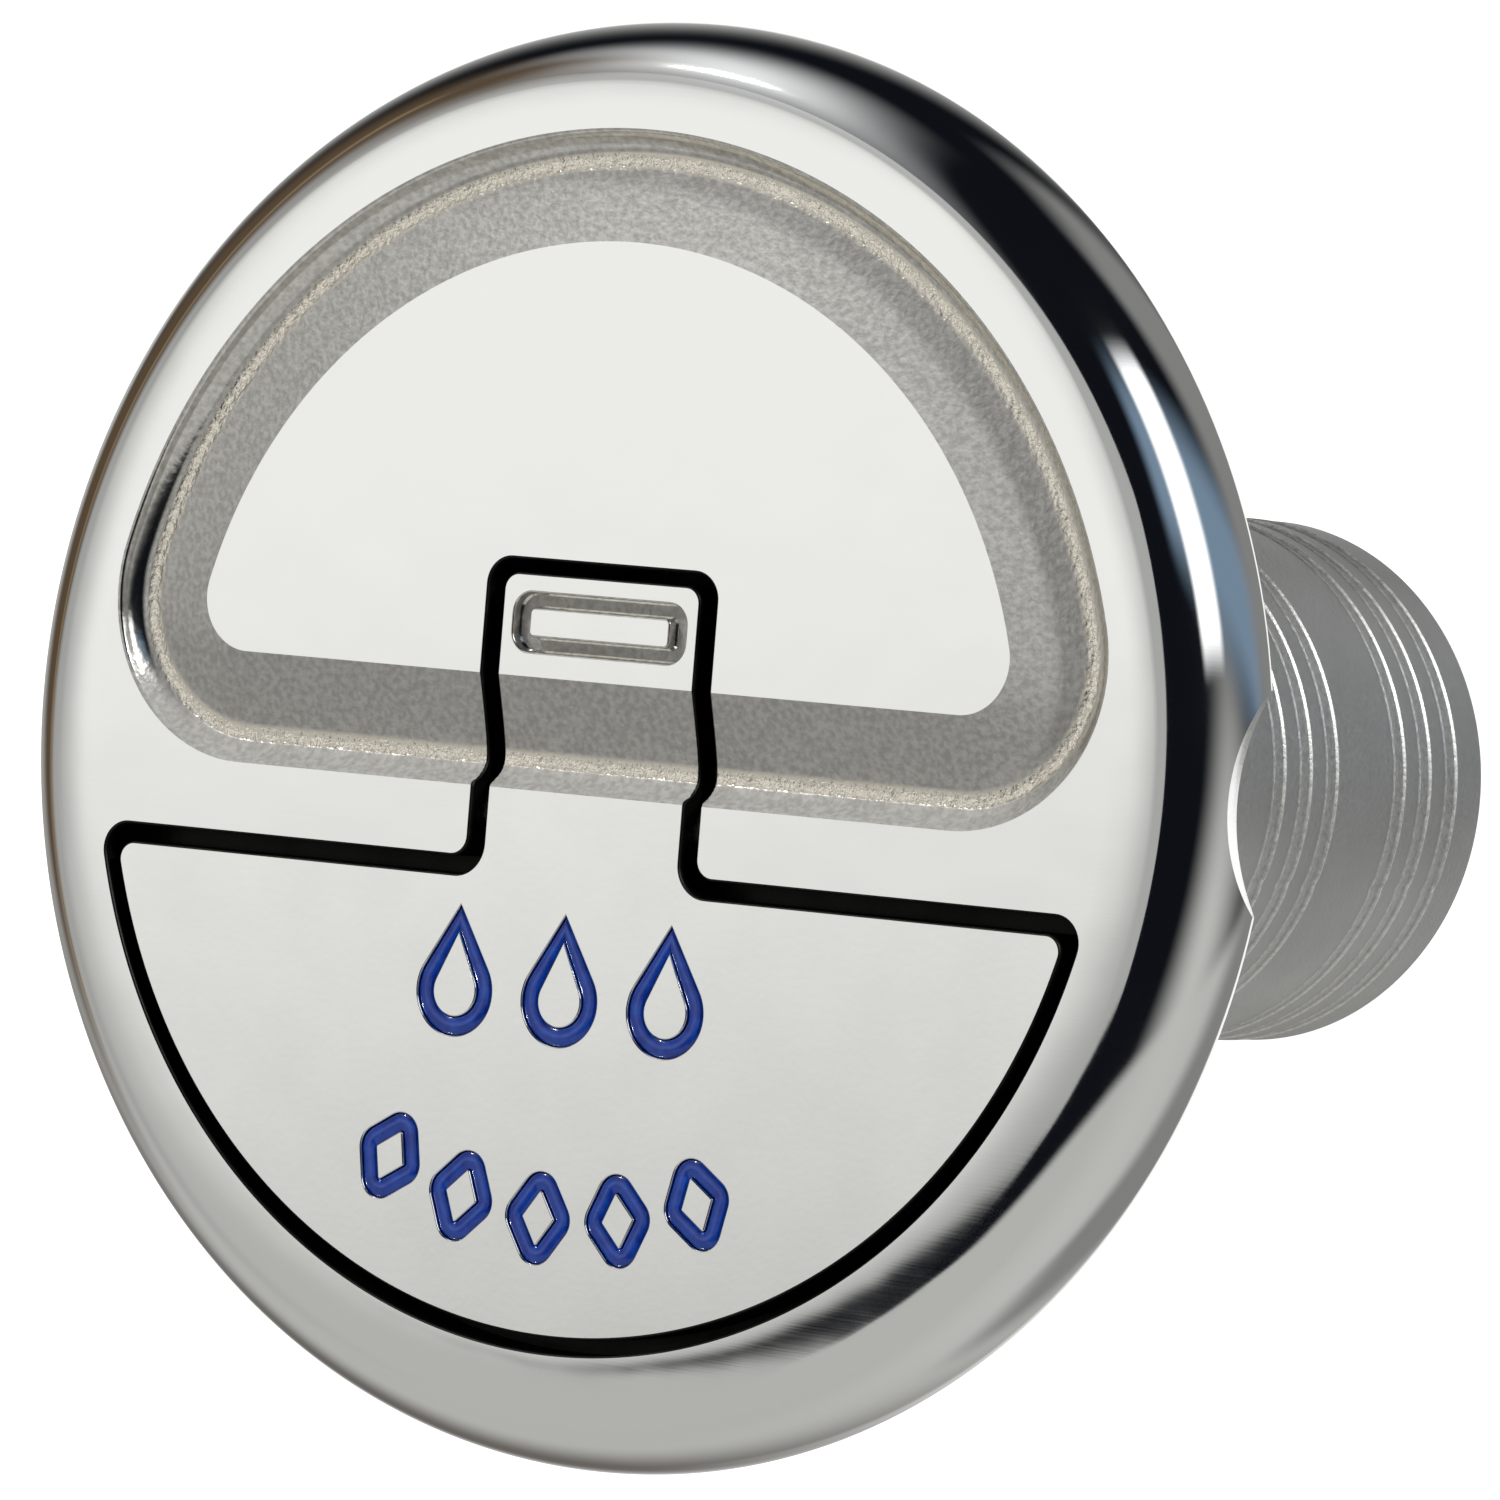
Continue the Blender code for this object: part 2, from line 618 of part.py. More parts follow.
def make_handle(groove, hinge):
    """Half-moon plate whose tongue carries the D groove across and a framed pad."""
    satin = material("satin_steel", "CFCFCB", 1.0, 0.22)
    bottom = FACE_Z - HANDLE_THICK
    bm = bmesh.new()
    prism(bm, half_moon(HANDLE_R, HANDLE_EDGE_Y, HANDLE_END_R, TONGUE_HALF, TONGUE_TIP_Y,
                        TONGUE_TIP_R, TONGUE_ROOT_R), bottom, FACE_Z)
    handle = add_object("handle", bm, satin)

    hub_top = bottom + OVERSHOOT
    section = arc(PIN_Y, PIN_Z, HUB_R, 180, 360)
    section += [(PIN_Y + HUB_R, hub_top), (PIN_Y - HUB_R, hub_top)]
    bm = bmesh.new()
    bar_x(bm, TONGUE_HALF - HUB_INSET, section)
    join(handle, add_object("hub", bm, None, cutter=True))

    bm = bmesh.new()
    rod_x(bm, PIN_BORE_R, PIN_BORE_HALF, PIN_Y, PIN_Z)
    cut(handle, add_object("pin bore cutter", bm, None, cutter=True))

    bm = bmesh.new()
    outer_x, outer_y, outer_r = PAD_OUTER
    inner_x, inner_y, inner_r = PAD_INNER
    band(bm, rounded_box(outer_x, outer_y, outer_r, 0.0, PAD_Y),
         rounded_box(inner_x, inner_y, inner_r, 0.0, PAD_Y), FACE_Z - PAD_DEPTH, FACE_Z + OVERSHOOT)
    cut(handle, add_object("pad cutter", bm, None, cutter=True), groove)

    bm = bmesh.new()
    for _, outer, inner in mark_bands(0.0):
        band(bm, outer, inner, FACE_Z - MARK_SINK, FACE_Z + OVERSHOOT)
    cut(handle, add_object("mark cutter", bm, None, cutter=True))
    set_on_hinge(handle, hinge)


def set_on_hinge(obj, hinge):
    """Move an object's origin to the hinge axis and parent it to the hinge empty."""
    shift = Matrix.Translation((0.0, -PIN_Y, -PIN_Z))
    obj.data.transform(shift)
    obj.parent = hinge


def make_enamel(hinge):
    enamel = material("blue_enamel", "1A3F9E", 0.0, 0.12)
    for name, outer, inner in mark_bands(MARK_FIT):
        bm = bmesh.new()
        band(bm, outer, inner, FACE_Z - MARK_SINK + MARK_FIT, FACE_Z - ENAMEL_DROP)
        set_on_hinge(add_object(name, bm, enamel), hinge)


def make_hinge_pin():
    steel = material("pin_steel", "C4C5C6", 1.0, 0.25)
    bm = bmesh.new()
    rod_x(bm, PIN_R, PIN_HALF, PIN_Y, PIN_Z)
    add_object("hinge_pin", bm, steel)


def make_spring_keeper():
    """Stamped plate that holds the pin up in its seats; its finger bears on the handle's hub."""
    spring_steel = material("spring_steel", "A9AAAC", 1.0, 0.35)
    top = PLATE_BOTTOM - FIT
    bottom = top - KEEPER_THICK
    bridge_low, bridge_high = KEEPER_BRIDGE_Y
    outline = [
        (-KEEPER_OUTER_X, bridge_high), (-KEEPER_FOOT_X, bridge_low), (KEEPER_FOOT_X, bridge_low),
        (KEEPER_OUTER_X, bridge_high), (KEEPER_OUTER_X, KEEPER_TOP_Y),
        (KEEPER_INNER_X, KEEPER_TOP_Y), (KEEPER_INNER_X, bridge_high),
        (-KEEPER_INNER_X, bridge_high), (-KEEPER_INNER_X, KEEPER_TOP_Y),
        (-KEEPER_OUTER_X, KEEPER_TOP_Y),
    ]
    bm = bmesh.new()
    prism(bm, outline, bottom, top)
    keeper = add_object("spring_keeper", bm, spring_steel)

    bm = bmesh.new()
    for side in (-1, 1):
        near, far = sorted((side * KEEPER_TAB_INNER_X, side * KEEPER_TAB_OUTER_X))
        box(bm, (near, PIN_Y - KEEPER_TAB_HALF, bottom + KEEPER_TAB_ROOT),
            (far, PIN_Y + KEEPER_TAB_HALF, PIN_Z - PIN_R - FIT))
    join(keeper, add_object("keeper tabs", bm, None, cutter=True))

    root_y = bridge_high - KEEPER_FINGER_ROOT
    tip_y = KEEPER_FINGER_TIP_Y
    bm = bmesh.new()
    bar_x(bm, KEEPER_FINGER_HALF, [
        (root_y, bottom + KEEPER_FINGER_THIN), (tip_y, bottom + KEEPER_FINGER_RISE),
        (tip_y, top + KEEPER_FINGER_RISE), (root_y, top - KEEPER_FINGER_THIN)])
    join(keeper, add_object("keeper finger", bm, None, cutter=True))

    bm = bmesh.new()
    radius = KEEPER_SCREW_R + FIT
    for x, y in keeper_screw_places():
        drilled(bm, radius, bottom - OVERSHOOT, top + OVERSHOOT, x, y, SMALL_STEPS)
    cut(keeper, add_object("keeper screw clearance", bm, None, cutter=True))


def make_keeper_screws():
    steel = material("screw_steel", "BFC0C2", 1.0, 0.3)
    seat = PLATE_BOTTOM - FIT - KEEPER_THICK - FIT
    top = PLATE_BOTTOM + KEEPER_SCREW_DEPTH
    foot = seat - KEEPER_HEAD_HEIGHT
    bm = bmesh.new()
    turned(bm, [(0.0, top), (KEEPER_SCREW_R, top), (KEEPER_SCREW_R, seat), (KEEPER_HEAD_R, seat),
                (KEEPER_HEAD_R, foot + KEEPER_HEAD_HEIGHT / 2), (KEEPER_HEAD_R * KEEPER_HEAD_TAPER, foot),
                (0.0, foot)], SMALL_STEPS)
    add_copies("keeper_screw", add_object("keeper_screw", bm, steel), keeper_screw_places())


def make_bumpers():
    rubber = material("bumper_rubber", "1C1C1C", 0.0, 0.7)
    bottom = POCKET_FLOOR - BUMPER_SINK + FIT
    top = FACE_Z - HANDLE_THICK - BUMPER_TOP_GAP
    bm = bmesh.new()
    turned(bm, [(0.0, bottom), (BUMPER_R, bottom), (BUMPER_R, top - BUMPER_CHAMFER_RISE),
                (BUMPER_R - BUMPER_CHAMFER_RUN, top), (0.0, top)], MEDIUM_STEPS)
    places = ((-BUMPER_X, BUMPER_Y), (BUMPER_X, BUMPER_Y))
    add_copies("handle_bumper", add_object("handle_bumper", bm, rubber), places)


def make_closing_disc():
    """Disc that closes the skirt, with a groove round its rim for a ring seal."""
    steel = material("disc_steel", "B8B9BA", 1.0, 0.3)
    bottom = DISC_TOP - DISC_THICK
    seal_z = DISC_TOP - DISC_THICK / 2
    seat_r = DISC_SEAL_R - DISC_SEAL_WIRE_R - DISC_SEAL_GAP
    half = DISC_SEAL_WIRE_R + DISC_SEAL_GAP
    bm = bmesh.new()
    turned(bm, [(0.0, DISC_TOP), (DISC_R, DISC_TOP), (DISC_R, seal_z + half), (seat_r, seal_z + half),
                (seat_r, seal_z - half), (DISC_R, seal_z - half), (DISC_R, bottom), (0.0, bottom)])
    add_object("closing_disc", bm, steel)
    rubber = material("seal_rubber", "161616", 0.0, 0.6)
    bm = bmesh.new()
    wire_ring(bm, DISC_SEAL_R, DISC_SEAL_WIRE_R, seal_z, SEAL_WIRE_STEPS)
    add_object("disc_seal", bm, rubber)


def make_circlip():
    """Split ring in the skirt's groove; each end has an ear with a hole."""
    spring_steel = material("circlip_steel", "8F9092", 1.0, 0.4)
    half_gap = math.degrees(CIRCLIP_GAP) / 2
    outline = (arc(0, 0, CIRCLIP_OUTER_R, 90 + half_gap, 450 - half_gap)
               + arc(0, 0, CIRCLIP_INNER_R, 450 - half_gap, 90 + half_gap))
    bm = bmesh.new()
    prism(bm, outline, CIRCLIP_TOP - CIRCLIP_THICK, CIRCLIP_TOP)
    clip = add_object("circlip", bm, spring_steel)
    bm = bmesh.new()
    middle_r = (CIRCLIP_OUTER_R + CIRCLIP_INNER_R) / 2
    for side in (-1, 1):
        x = side * middle_r * math.sin(CIRCLIP_EAR_ANGLE)
        y = middle_r * math.cos(CIRCLIP_EAR_ANGLE)
        drilled(bm, CIRCLIP_EAR_HOLE_R, CIRCLIP_TOP - CIRCLIP_THICK - OVERSHOOT,
                CIRCLIP_TOP + OVERSHOOT, x, y, EAR_STEPS)
    cut(clip, add_object("circlip hole cutter", bm, None, cutter=True))


def make_cap_o_ring():
    rubber = material("o_ring_rubber", "141414", 0.0, 0.5)
    bm = bmesh.new()
    wire_ring(bm, O_RING_R, O_RING_WIRE_R, O_RING_Z, WIRE_STEPS)
    add_object("cap_o_ring", bm, rubber)


# ---------------------------------------------------------------- deck flange and fixings

def neck_outer_profile():
    """Neck's outer wall from the boss down, with its hose grooves."""
    points = [(BOSS_R, FLANGE_BOTTOM), (BOSS_R, BOSS_END), (NECK_R, BOSS_CONE_END)]
    for depth in NECK_GROOVE_DEPTHS:
        z = FACE_Z - depth * MM
        floor_r = NECK_R - NECK_GROOVE_SINK
        points += [(NECK_R, z + NECK_GROOVE_HALF), (floor_r, z + NECK_GROOVE_FLOOR_HALF),
                   (floor_r, z - NECK_GROOVE_FLOOR_HALF), (NECK_R, z - NECK_GROOVE_HALF)]
    return points + [(NECK_R, NECK_END + NECK_EDGE), (NECK_R - NECK_EDGE, NECK_END)]


def make_deck_flange():
    """Cast flange, threaded socket and hose neck in one piece."""
    cast = material("blasted_steel", "7D7D7B", 1.0, 0.55)
    profile = [(SOCKET_R + SOCKET_MOUTH, FLANGE_TOP), (FLANGE_R - FLANGE_EDGE, FLANGE_TOP),
               (FLANGE_R, FLANGE_TOP - FLANGE_EDGE), (FLANGE_R, FLANGE_BOTTOM)]
    profile += neck_outer_profile()
    profile += [(NECK_BORE_R, NECK_END), (NECK_BORE_R, NECK_CONE_END), (SOCKET_R, SOCKET_END),
                (SOCKET_R, FLANGE_TOP - SOCKET_MOUTH)]
    bm = bmesh.new()
    turned(bm, profile)
    flange = add_object("deck_flange", bm, cast)
    half_pitch = THREAD_LEAD / THREAD_STARTS / 2
    join(flange, thread("female thread", SOCKET_R, -THREAD_HEIGHT, FEMALE_TOP, FEMALE_BOTTOM,
                        half_pitch))
    bm = bmesh.new()
    hole = SCREW_SHANK_R + FIT
    sink = SCREW_HEAD_R + FIT
    for x, y in screw_places():
        turned(bm, [(0.0, FLANGE_TOP + OVERSHOOT), (sink, FLANGE_TOP + OVERSHOOT), (sink, FLANGE_TOP),
                    (hole, FLANGE_TOP - SCREW_HEAD_DROP), (hole, FLANGE_BOTTOM - OVERSHOOT),
                    (0.0, FLANGE_BOTTOM - OVERSHOOT)], MEDIUM_STEPS, x, y)
    cut(flange, add_object("screw hole cutter", bm, None, cutter=True))


def make_deck_gasket():
    rubber = material("gasket_rubber", "202020", 0.0, 0.8)
    bm = bmesh.new()
    turned(bm, [(GASKET_INNER_R, 0.0), (GASKET_INNER_R, GASKET_TOP), (GASKET_OUTER_R, GASKET_TOP),
                (GASKET_OUTER_R, 0.0)])
    gasket = add_object("deck_gasket", bm, rubber)
    bm = bmesh.new()
    for x, y in screw_places():
        drilled(bm, SCREW_SHANK_R + FIT, -OVERSHOOT, GASKET_TOP + OVERSHOOT, x, y, SMALL_STEPS)
    cut(gasket, add_object("gasket hole cutter", bm, None, cutter=True))


def make_seat_gasket():
    rubber = material("seat_rubber", "1A1A1A", 0.0, 0.7)
    bottom = FLANGE_TOP + FIT
    bm = bmesh.new()
    turned(bm, [(SEAT_INNER_R, bottom), (SEAT_INNER_R, bottom + SEAT_THICK),
                (SEAT_OUTER_R, bottom + SEAT_THICK), (SEAT_OUTER_R, bottom)])
    add_object("seat_gasket", bm, rubber)


def make_flange_screws():
    """Countersunk screws through the flange into the deck."""
    steel = material("fixing_steel", "C9CACB", 1.0, 0.25)
    top = FLANGE_TOP - SCREW_TOP_GAP
    tip = top - SCREW_LENGTH
    bm = bmesh.new()
    turned(bm, [(0.0, top), (SCREW_HEAD_R, top), (SCREW_SHANK_R, top - SCREW_HEAD_DROP),
                (SCREW_SHANK_R, tip + SCREW_TIP), (0.0, tip)], SMALL_STEPS)
    add_copies("flange_screw", add_object("flange_screw", bm, steel), screw_places())


def main():
    clear_scene()
    hinge = bpy.data.objects.new("handle hinge", None)
    bpy.context.scene.collection.objects.link(hinge)
    hinge.location = (0.0, PIN_Y, PIN_Z)
    groove = groove_cutter()
    make_deck_flange()
    make_deck_gasket()
    make_seat_gasket()
    make_flange_screws()
    make_cap_o_ring()
    make_cap_cover(groove)
    make_closing_disc()
    make_circlip()
    make_hinge_pin()
    make_spring_keeper()
    make_keeper_screws()
    make_bumpers()
    make_handle(groove, hinge)
    make_enamel(hinge)


main()
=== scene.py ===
import math

import bmesh
import bpy
from mathutils import Matrix, Vector


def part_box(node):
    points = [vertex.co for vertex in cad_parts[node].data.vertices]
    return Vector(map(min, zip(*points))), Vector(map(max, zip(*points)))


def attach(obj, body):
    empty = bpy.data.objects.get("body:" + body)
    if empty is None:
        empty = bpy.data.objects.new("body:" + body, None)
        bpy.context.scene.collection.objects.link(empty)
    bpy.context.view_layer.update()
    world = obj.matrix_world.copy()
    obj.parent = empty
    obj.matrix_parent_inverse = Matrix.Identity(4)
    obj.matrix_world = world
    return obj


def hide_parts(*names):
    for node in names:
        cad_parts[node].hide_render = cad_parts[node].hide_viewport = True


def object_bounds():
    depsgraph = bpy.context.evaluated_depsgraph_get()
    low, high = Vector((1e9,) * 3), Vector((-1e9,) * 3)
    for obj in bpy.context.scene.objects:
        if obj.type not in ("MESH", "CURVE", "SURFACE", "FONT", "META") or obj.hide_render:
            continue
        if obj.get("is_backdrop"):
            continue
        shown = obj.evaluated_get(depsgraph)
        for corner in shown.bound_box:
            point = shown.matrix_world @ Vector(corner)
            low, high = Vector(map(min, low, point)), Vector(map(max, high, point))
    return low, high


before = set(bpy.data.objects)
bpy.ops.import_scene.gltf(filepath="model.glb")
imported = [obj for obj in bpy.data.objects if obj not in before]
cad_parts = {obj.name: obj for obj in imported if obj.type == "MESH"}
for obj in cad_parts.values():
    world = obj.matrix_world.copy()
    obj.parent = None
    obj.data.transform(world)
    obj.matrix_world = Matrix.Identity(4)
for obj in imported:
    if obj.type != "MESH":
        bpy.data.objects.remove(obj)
cad_low, cad_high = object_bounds()


# ---- Camera
# A long lens looks down on the cap's face, leaning to the side of the finger scallop, so that the
# domed rim and the hose neck behind it both show.
MM = 0.001
FACE_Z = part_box("cap_cover")[1].z
VIEW_CENTRE = Vector((12.9 * MM, 0.6 * MM, FACE_Z))
VIEW_TURN = math.radians(1.83)
VIEW_TILT = math.radians(33.66)
VIEW_ROLL = math.radians(3.12)
VIEW_DISTANCE = 769 * MM

camera_data = bpy.data.cameras.new("studio_camera")
camera_data.lens = 278.2
camera_data.sensor_width = 36.0
camera_data.clip_start = 10 * MM
camera = bpy.data.objects.new("studio_camera", camera_data)
bpy.context.scene.collection.objects.link(camera)
camera.matrix_world = (Matrix.Translation(VIEW_CENTRE) @ Matrix.Rotation(VIEW_TURN, 4, "Z")
                       @ Matrix.Rotation(VIEW_TILT, 4, "Y") @ Matrix.Rotation(VIEW_ROLL, 4, "Z")
                       @ Matrix.Translation((0.0, 0.0, VIEW_DISTANCE)))
bpy.context.scene.camera = camera
bpy.context.scene.view_settings.view_transform = "Standard"


# ---- Studio light
# A pale tent on one side and a dark room on the other, as polished steel is lit: the face mirrors a
# large soft panel, and the rim mirrors the dark side with one tall strip light in it.
def add_node(tree, kind, settings, inputs):
    """Add a node, set its properties, and set or link its inputs."""
    new = tree.nodes.new(kind)
    for name, value in settings.items():
        setattr(new, name, value)
    for key, value in inputs.items():
        if isinstance(value, bpy.types.NodeSocket):
            tree.links.new(value, new.inputs[key])
        else:
            new.inputs[key].default_value = value
    return new


def maths(tree, operation, *values):
    """Result of one sum on values or sockets."""
    return add_node(tree, "ShaderNodeMath", {"operation": operation}, dict(enumerate(values))).outputs[0]


def mixed(tree, share, under, over):
    """Colour between two colours, share from 0 for under to 1 for over."""
    return add_node(tree, "ShaderNodeMix", {"data_type": "RGBA"}, {0: share, 6: under, 7: over}).outputs[2]


def direction(azimuth, elevation):
    """Unit vector for angles in degrees, azimuth from +X towards +Y."""
    a, e = math.radians(azimuth), math.radians(elevation)
    return Vector((math.cos(a) * math.cos(e), math.sin(a) * math.cos(e), math.sin(e)))


def light_panel(tree, ray, under, azimuth, elevation, half_width, half_height, soft, turn, colour):
    """Paint a soft-edged rectangle of light over what is under it; sizes are in degrees."""
    centre = direction(azimuth, elevation)
    across = Vector((0.0, 0.0, 1.0)).cross(centre).normalized()
    up = centre.cross(across)
    spin = Matrix.Rotation(math.radians(turn), 3, centre)
    across, up = spin @ across, spin @ up
    ahead = add_node(tree, "ShaderNodeVectorMath", {"operation": "DOT_PRODUCT"}, {0: ray, 1: centre})
    mask = maths(tree, "GREATER_THAN", ahead.outputs[1], 0.0)
    for axis, half in ((across, half_width), (up, half_height)):
        aside = add_node(tree, "ShaderNodeVectorMath", {"operation": "DOT_PRODUCT"}, {0: ray, 1: axis})
        slope = maths(tree, "DIVIDE", aside.outputs[1], ahead.outputs[1])
        size = maths(tree, "ABSOLUTE", maths(tree, "ARCTANGENT", slope))
        edge = add_node(tree, "ShaderNodeMapRange", {"interpolation_type": "SMOOTHSTEP"},
                        {0: size, 1: math.radians(half + soft),
                         2: math.radians(max(half - soft, 0.0)), 3: 0.0, 4: 1.0})
        mask = maths(tree, "MULTIPLY", mask, edge.outputs[0])
    return mixed(tree, mask, under, (*colour, 1.0))


world = bpy.data.worlds.new("studio")
bpy.context.scene.world = world
world.use_nodes = True
sky = world.node_tree
sky.nodes.clear()
ray = add_node(sky, "ShaderNodeTexCoord", {}, {}).outputs["Generated"]
DARK_SIDE = direction(72.7, 14.5)
TENT = (0.495, 0.495, 0.485, 1.0)
DARK_ROOM = (0.005, 0.006, 0.009, 1.0)
BACKDROP = (0.98, 0.98, 0.98, 1.0)
facing = add_node(sky, "ShaderNodeVectorMath", {"operation": "DOT_PRODUCT"}, {0: ray, 1: DARK_SIDE})
side = add_node(sky, "ShaderNodeMapRange", {"interpolation_type": "SMOOTHSTEP"},
                {0: facing.outputs["Value"], 1: -0.24, 2: -0.14, 3: 0.0, 4: 1.0})
glow = mixed(sky, side.outputs[0], TENT, DARK_ROOM)
PANELS = (
    # azimuth, elevation, half width, half height, soft edge, turn, colour
    (-41.0, -9.0, 50.0, 15.5, 29.0, -1.0, (0.55, 0.55, 0.54)),
    (-122.0, 46.5, 54.5, 18.0, 0.8, -1.0, (0.50, 0.50, 0.49)),
    (161.5, 64.0, 15.0, 25.0, 0.8, 6.0, (0.43, 0.43, 0.425)),
    (174.0, 55.5, 6.6, 9.8, 4.0, 12.0, (0.96, 0.96, 0.945)),
    (34.0, -7.5, 13.5, 47.5, 8.5, -14.5, (0.19, 0.27, 0.37)),
    (36.5, 7.5, 19.0, 13.0, 4.0, -1.5, (1.6, 1.62, 1.65)),
    (124.5, 26.5, 5.2, 23.5, 24.0, -29.0, (1.0, 1.02, 1.04)),
    (172.0, -59.0, 22.0, 26.0, 26.0, 10.0, (0.56, 0.56, 0.55)),
    (163.5, 10.5, 34.5, 23.0, 12.5, -44.0, (0.10, 0.07, 0.045)),
    (-177.5, -67.0, 28.0, 10.5, 6.5, 37.0, (1.3, 1.3, 1.3)),
    (3.0, -66.0, 60.0, 20.0, 10.0, 0.0, (0.24, 0.24, 0.24)),
    (-160.0, -75.0, 28.0, 28.0, 4.0, 0.0, (1.1, 1.1, 1.1)),
    (-142.5, -37.0, 27.0, 22.0, 21.0, -31.5, (0.15, 0.14, 0.13)),
    (169.5, 15.0, 24.0, 2.3, 3.0, 0.5, (0.24, 0.17, 0.10)),
    (179.0, 34.0, 20.5, 5.3, 13.0, -4.0, (0.39, 0.39, 0.385)),
)
for panel in PANELS:
    glow = light_panel(sky, ray, glow, *panel)
seen = add_node(sky, "ShaderNodeLightPath", {}, {}).outputs["Is Camera Ray"]
air = add_node(sky, "ShaderNodeBackground", {}, {"Color": mixed(sky, seen, glow, BACKDROP)})
add_node(sky, "ShaderNodeOutputWorld", {}, {"Surface": air.outputs[0]})

# Two lamps stand in for the panels' harder light, which brings out the grain of rough skins.
LAMPS = ((36.5, 12.0, 1.3), (124.5, 34.0, 0.6))
LAMP_ANGLE = math.radians(5.0)
for i, (azimuth, elevation, strength) in enumerate(LAMPS):
    lamp_data = bpy.data.lights.new(f"panel_lamp_{i + 1}", "SUN")
    lamp_data.energy = strength
    lamp_data.angle = LAMP_ANGLE
    lamp = bpy.data.objects.new(lamp_data.name, lamp_data)
    bpy.context.scene.collection.objects.link(lamp)
    lamp.rotation_euler = direction(azimuth, elevation).to_track_quat("Z", "Y").to_euler()


# ---- Floor
# A back-lit sheet of white acrylic that the neck's end stands on. Its glow keeps the shadow under
# the cap faint.
FLOOR_HALF = 3000 * MM
NECK_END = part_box("deck_flange")[0].z


def linear(hex_colour):
    """sRGB hex colour as linear red, green, blue and alpha."""
    channels = [int(hex_colour[i:i + 2], 16) / 255.0 for i in (0, 2, 4)]
    return (*[c / 12.92 if c <= 0.04045 else ((c + 0.055) / 1.055) ** 2.4 for c in channels], 1.0)


def new_material(name, inputs):
    """Material with one Principled shader; returns it, its node tree and the shader."""
    material = bpy.data.materials.new(name)
    material.use_nodes = True
    shader = material.node_tree.nodes["Principled BSDF"]
    for key, value in inputs.items():
        shader.inputs[key].default_value = value
    return material, material.node_tree, shader


acrylic = new_material("backlit_white_acrylic", {
    "Base Color": linear("F2F2F2"), "Roughness": 0.6,
    "Emission Color": linear("FFFFFF"), "Emission Strength": 0.95})[0]
bm = bmesh.new()
bmesh.ops.create_grid(bm, x_segments=1, y_segments=1, size=FLOOR_HALF,
                      matrix=Matrix.Translation((0.0, 0.0, NECK_END - 0.1 * MM)))
floor_mesh = bpy.data.meshes.new("floor")
bm.to_mesh(floor_mesh)
bm.free()
floor_mesh.materials.append(acrylic)
floor = bpy.data.objects.new("floor", floor_mesh)
bpy.context.scene.collection.objects.link(floor)
floor.visible_glossy = False
floor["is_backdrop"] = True


# ---- Deck gasket
# A flat ring stamped from black rubber sheet, between the deck and the flange, with a clearance hole
# for each screw.
GASKET_INNER_R = 25.1 * MM
GASKET_OUTER_R = 43.0 * MM
GASKET_EDGE = 0.15 * MM
SCREW_COUNT = 6
SCREW_CIRCLE_R = 34.5 * MM
SCREW_HOLE_R = 2.6 * MM
TURN_STEPS = 192
HOLE_STEPS = 32
BEYOND = 1 * MM
CRISP_ANGLE = math.radians(16.0)


def turned(profile, closed=True, steps=TURN_STEPS, x=0.0, y=0.0):
    """Spin a (radius, z) profile round an upright axis; the open ends of a profile are filled flat."""
    bm = bmesh.new()
    verts = [bm.verts.new((radius, 0.0, z)) for radius, z in profile]
    ends = verts[1:] + verts[:1] if closed else verts[1:]
    edges = [bm.edges.new(pair) for pair in zip(verts, ends)]
    bmesh.ops.spin(bm, geom=verts + edges, cent=(0, 0, 0), axis=(0, 0, 1), dvec=(0, 0, 0),
                   angle=2 * math.pi, steps=steps, use_merge=True)
    bmesh.ops.remove_doubles(bm, verts=bm.verts, dist=0.001 * MM)
    bmesh.ops.holes_fill(bm, edges=bm.edges, sides=0)
    bmesh.ops.translate(bm, verts=bm.verts, vec=(x, y, 0.0))
    return bm


def screw_places():
    for i in range(SCREW_COUNT):
        angle = 2 * math.pi * (i + 0.5) / SCREW_COUNT
        yield SCREW_CIRCLE_R * math.cos(angle), SCREW_CIRCLE_R * math.sin(angle)


def new_object(name, bm, *materials):
    """Object at the origin from a bmesh, faces outwards, with the given materials."""
    bmesh.ops.recalc_face_normals(bm, faces=bm.faces)
    mesh = bpy.data.meshes.new(name)
    bm.to_mesh(mesh)
    bm.free()
    for material in materials:
        mesh.materials.append(material)
    obj = bpy.data.objects.new(name, mesh)
    bpy.context.scene.collection.objects.link(obj)
    return obj


def shaped(obj, tools, operation="DIFFERENCE"):
    """Cut each tool from an object, or join it, and take the tools away."""
    tools = list(tools)
    for tool in tools:
        modifier = obj.modifiers.new(tool.name, "BOOLEAN")
        modifier.object = tool
        modifier.operation = operation
        modifier.solver = "EXACT"
        modifier.material_mode = "TRANSFER"
    bpy.context.view_layer.update()
    seen_now = obj.evaluated_get(bpy.context.evaluated_depsgraph_get())
    mesh = bpy.data.meshes.new_from_object(seen_now)
    obj.modifiers.clear()
    obj.data = mesh
    for tool in tools:
        bpy.data.objects.remove(tool)


def finished(obj, body, nodes):
    """Shade a piece, and say what it rides on and what it stands for."""
    obj.data.shade_smooth()
    obj.data.set_sharp_from_angle(angle=CRISP_ANGLE)
    even = obj.modifiers.new("even shading", "WEIGHTED_NORMAL")
    even.keep_sharp = True
    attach(obj, body)
    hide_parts(*nodes)


def hole_tools(radius, bottom, top, places):
    """Round bars to cut holes with."""
    for x, y in places:
        bar = [(radius, bottom), (radius, top)]
        yield new_object("hole tool", turned(bar, closed=False, steps=HOLE_STEPS, x=x, y=y))


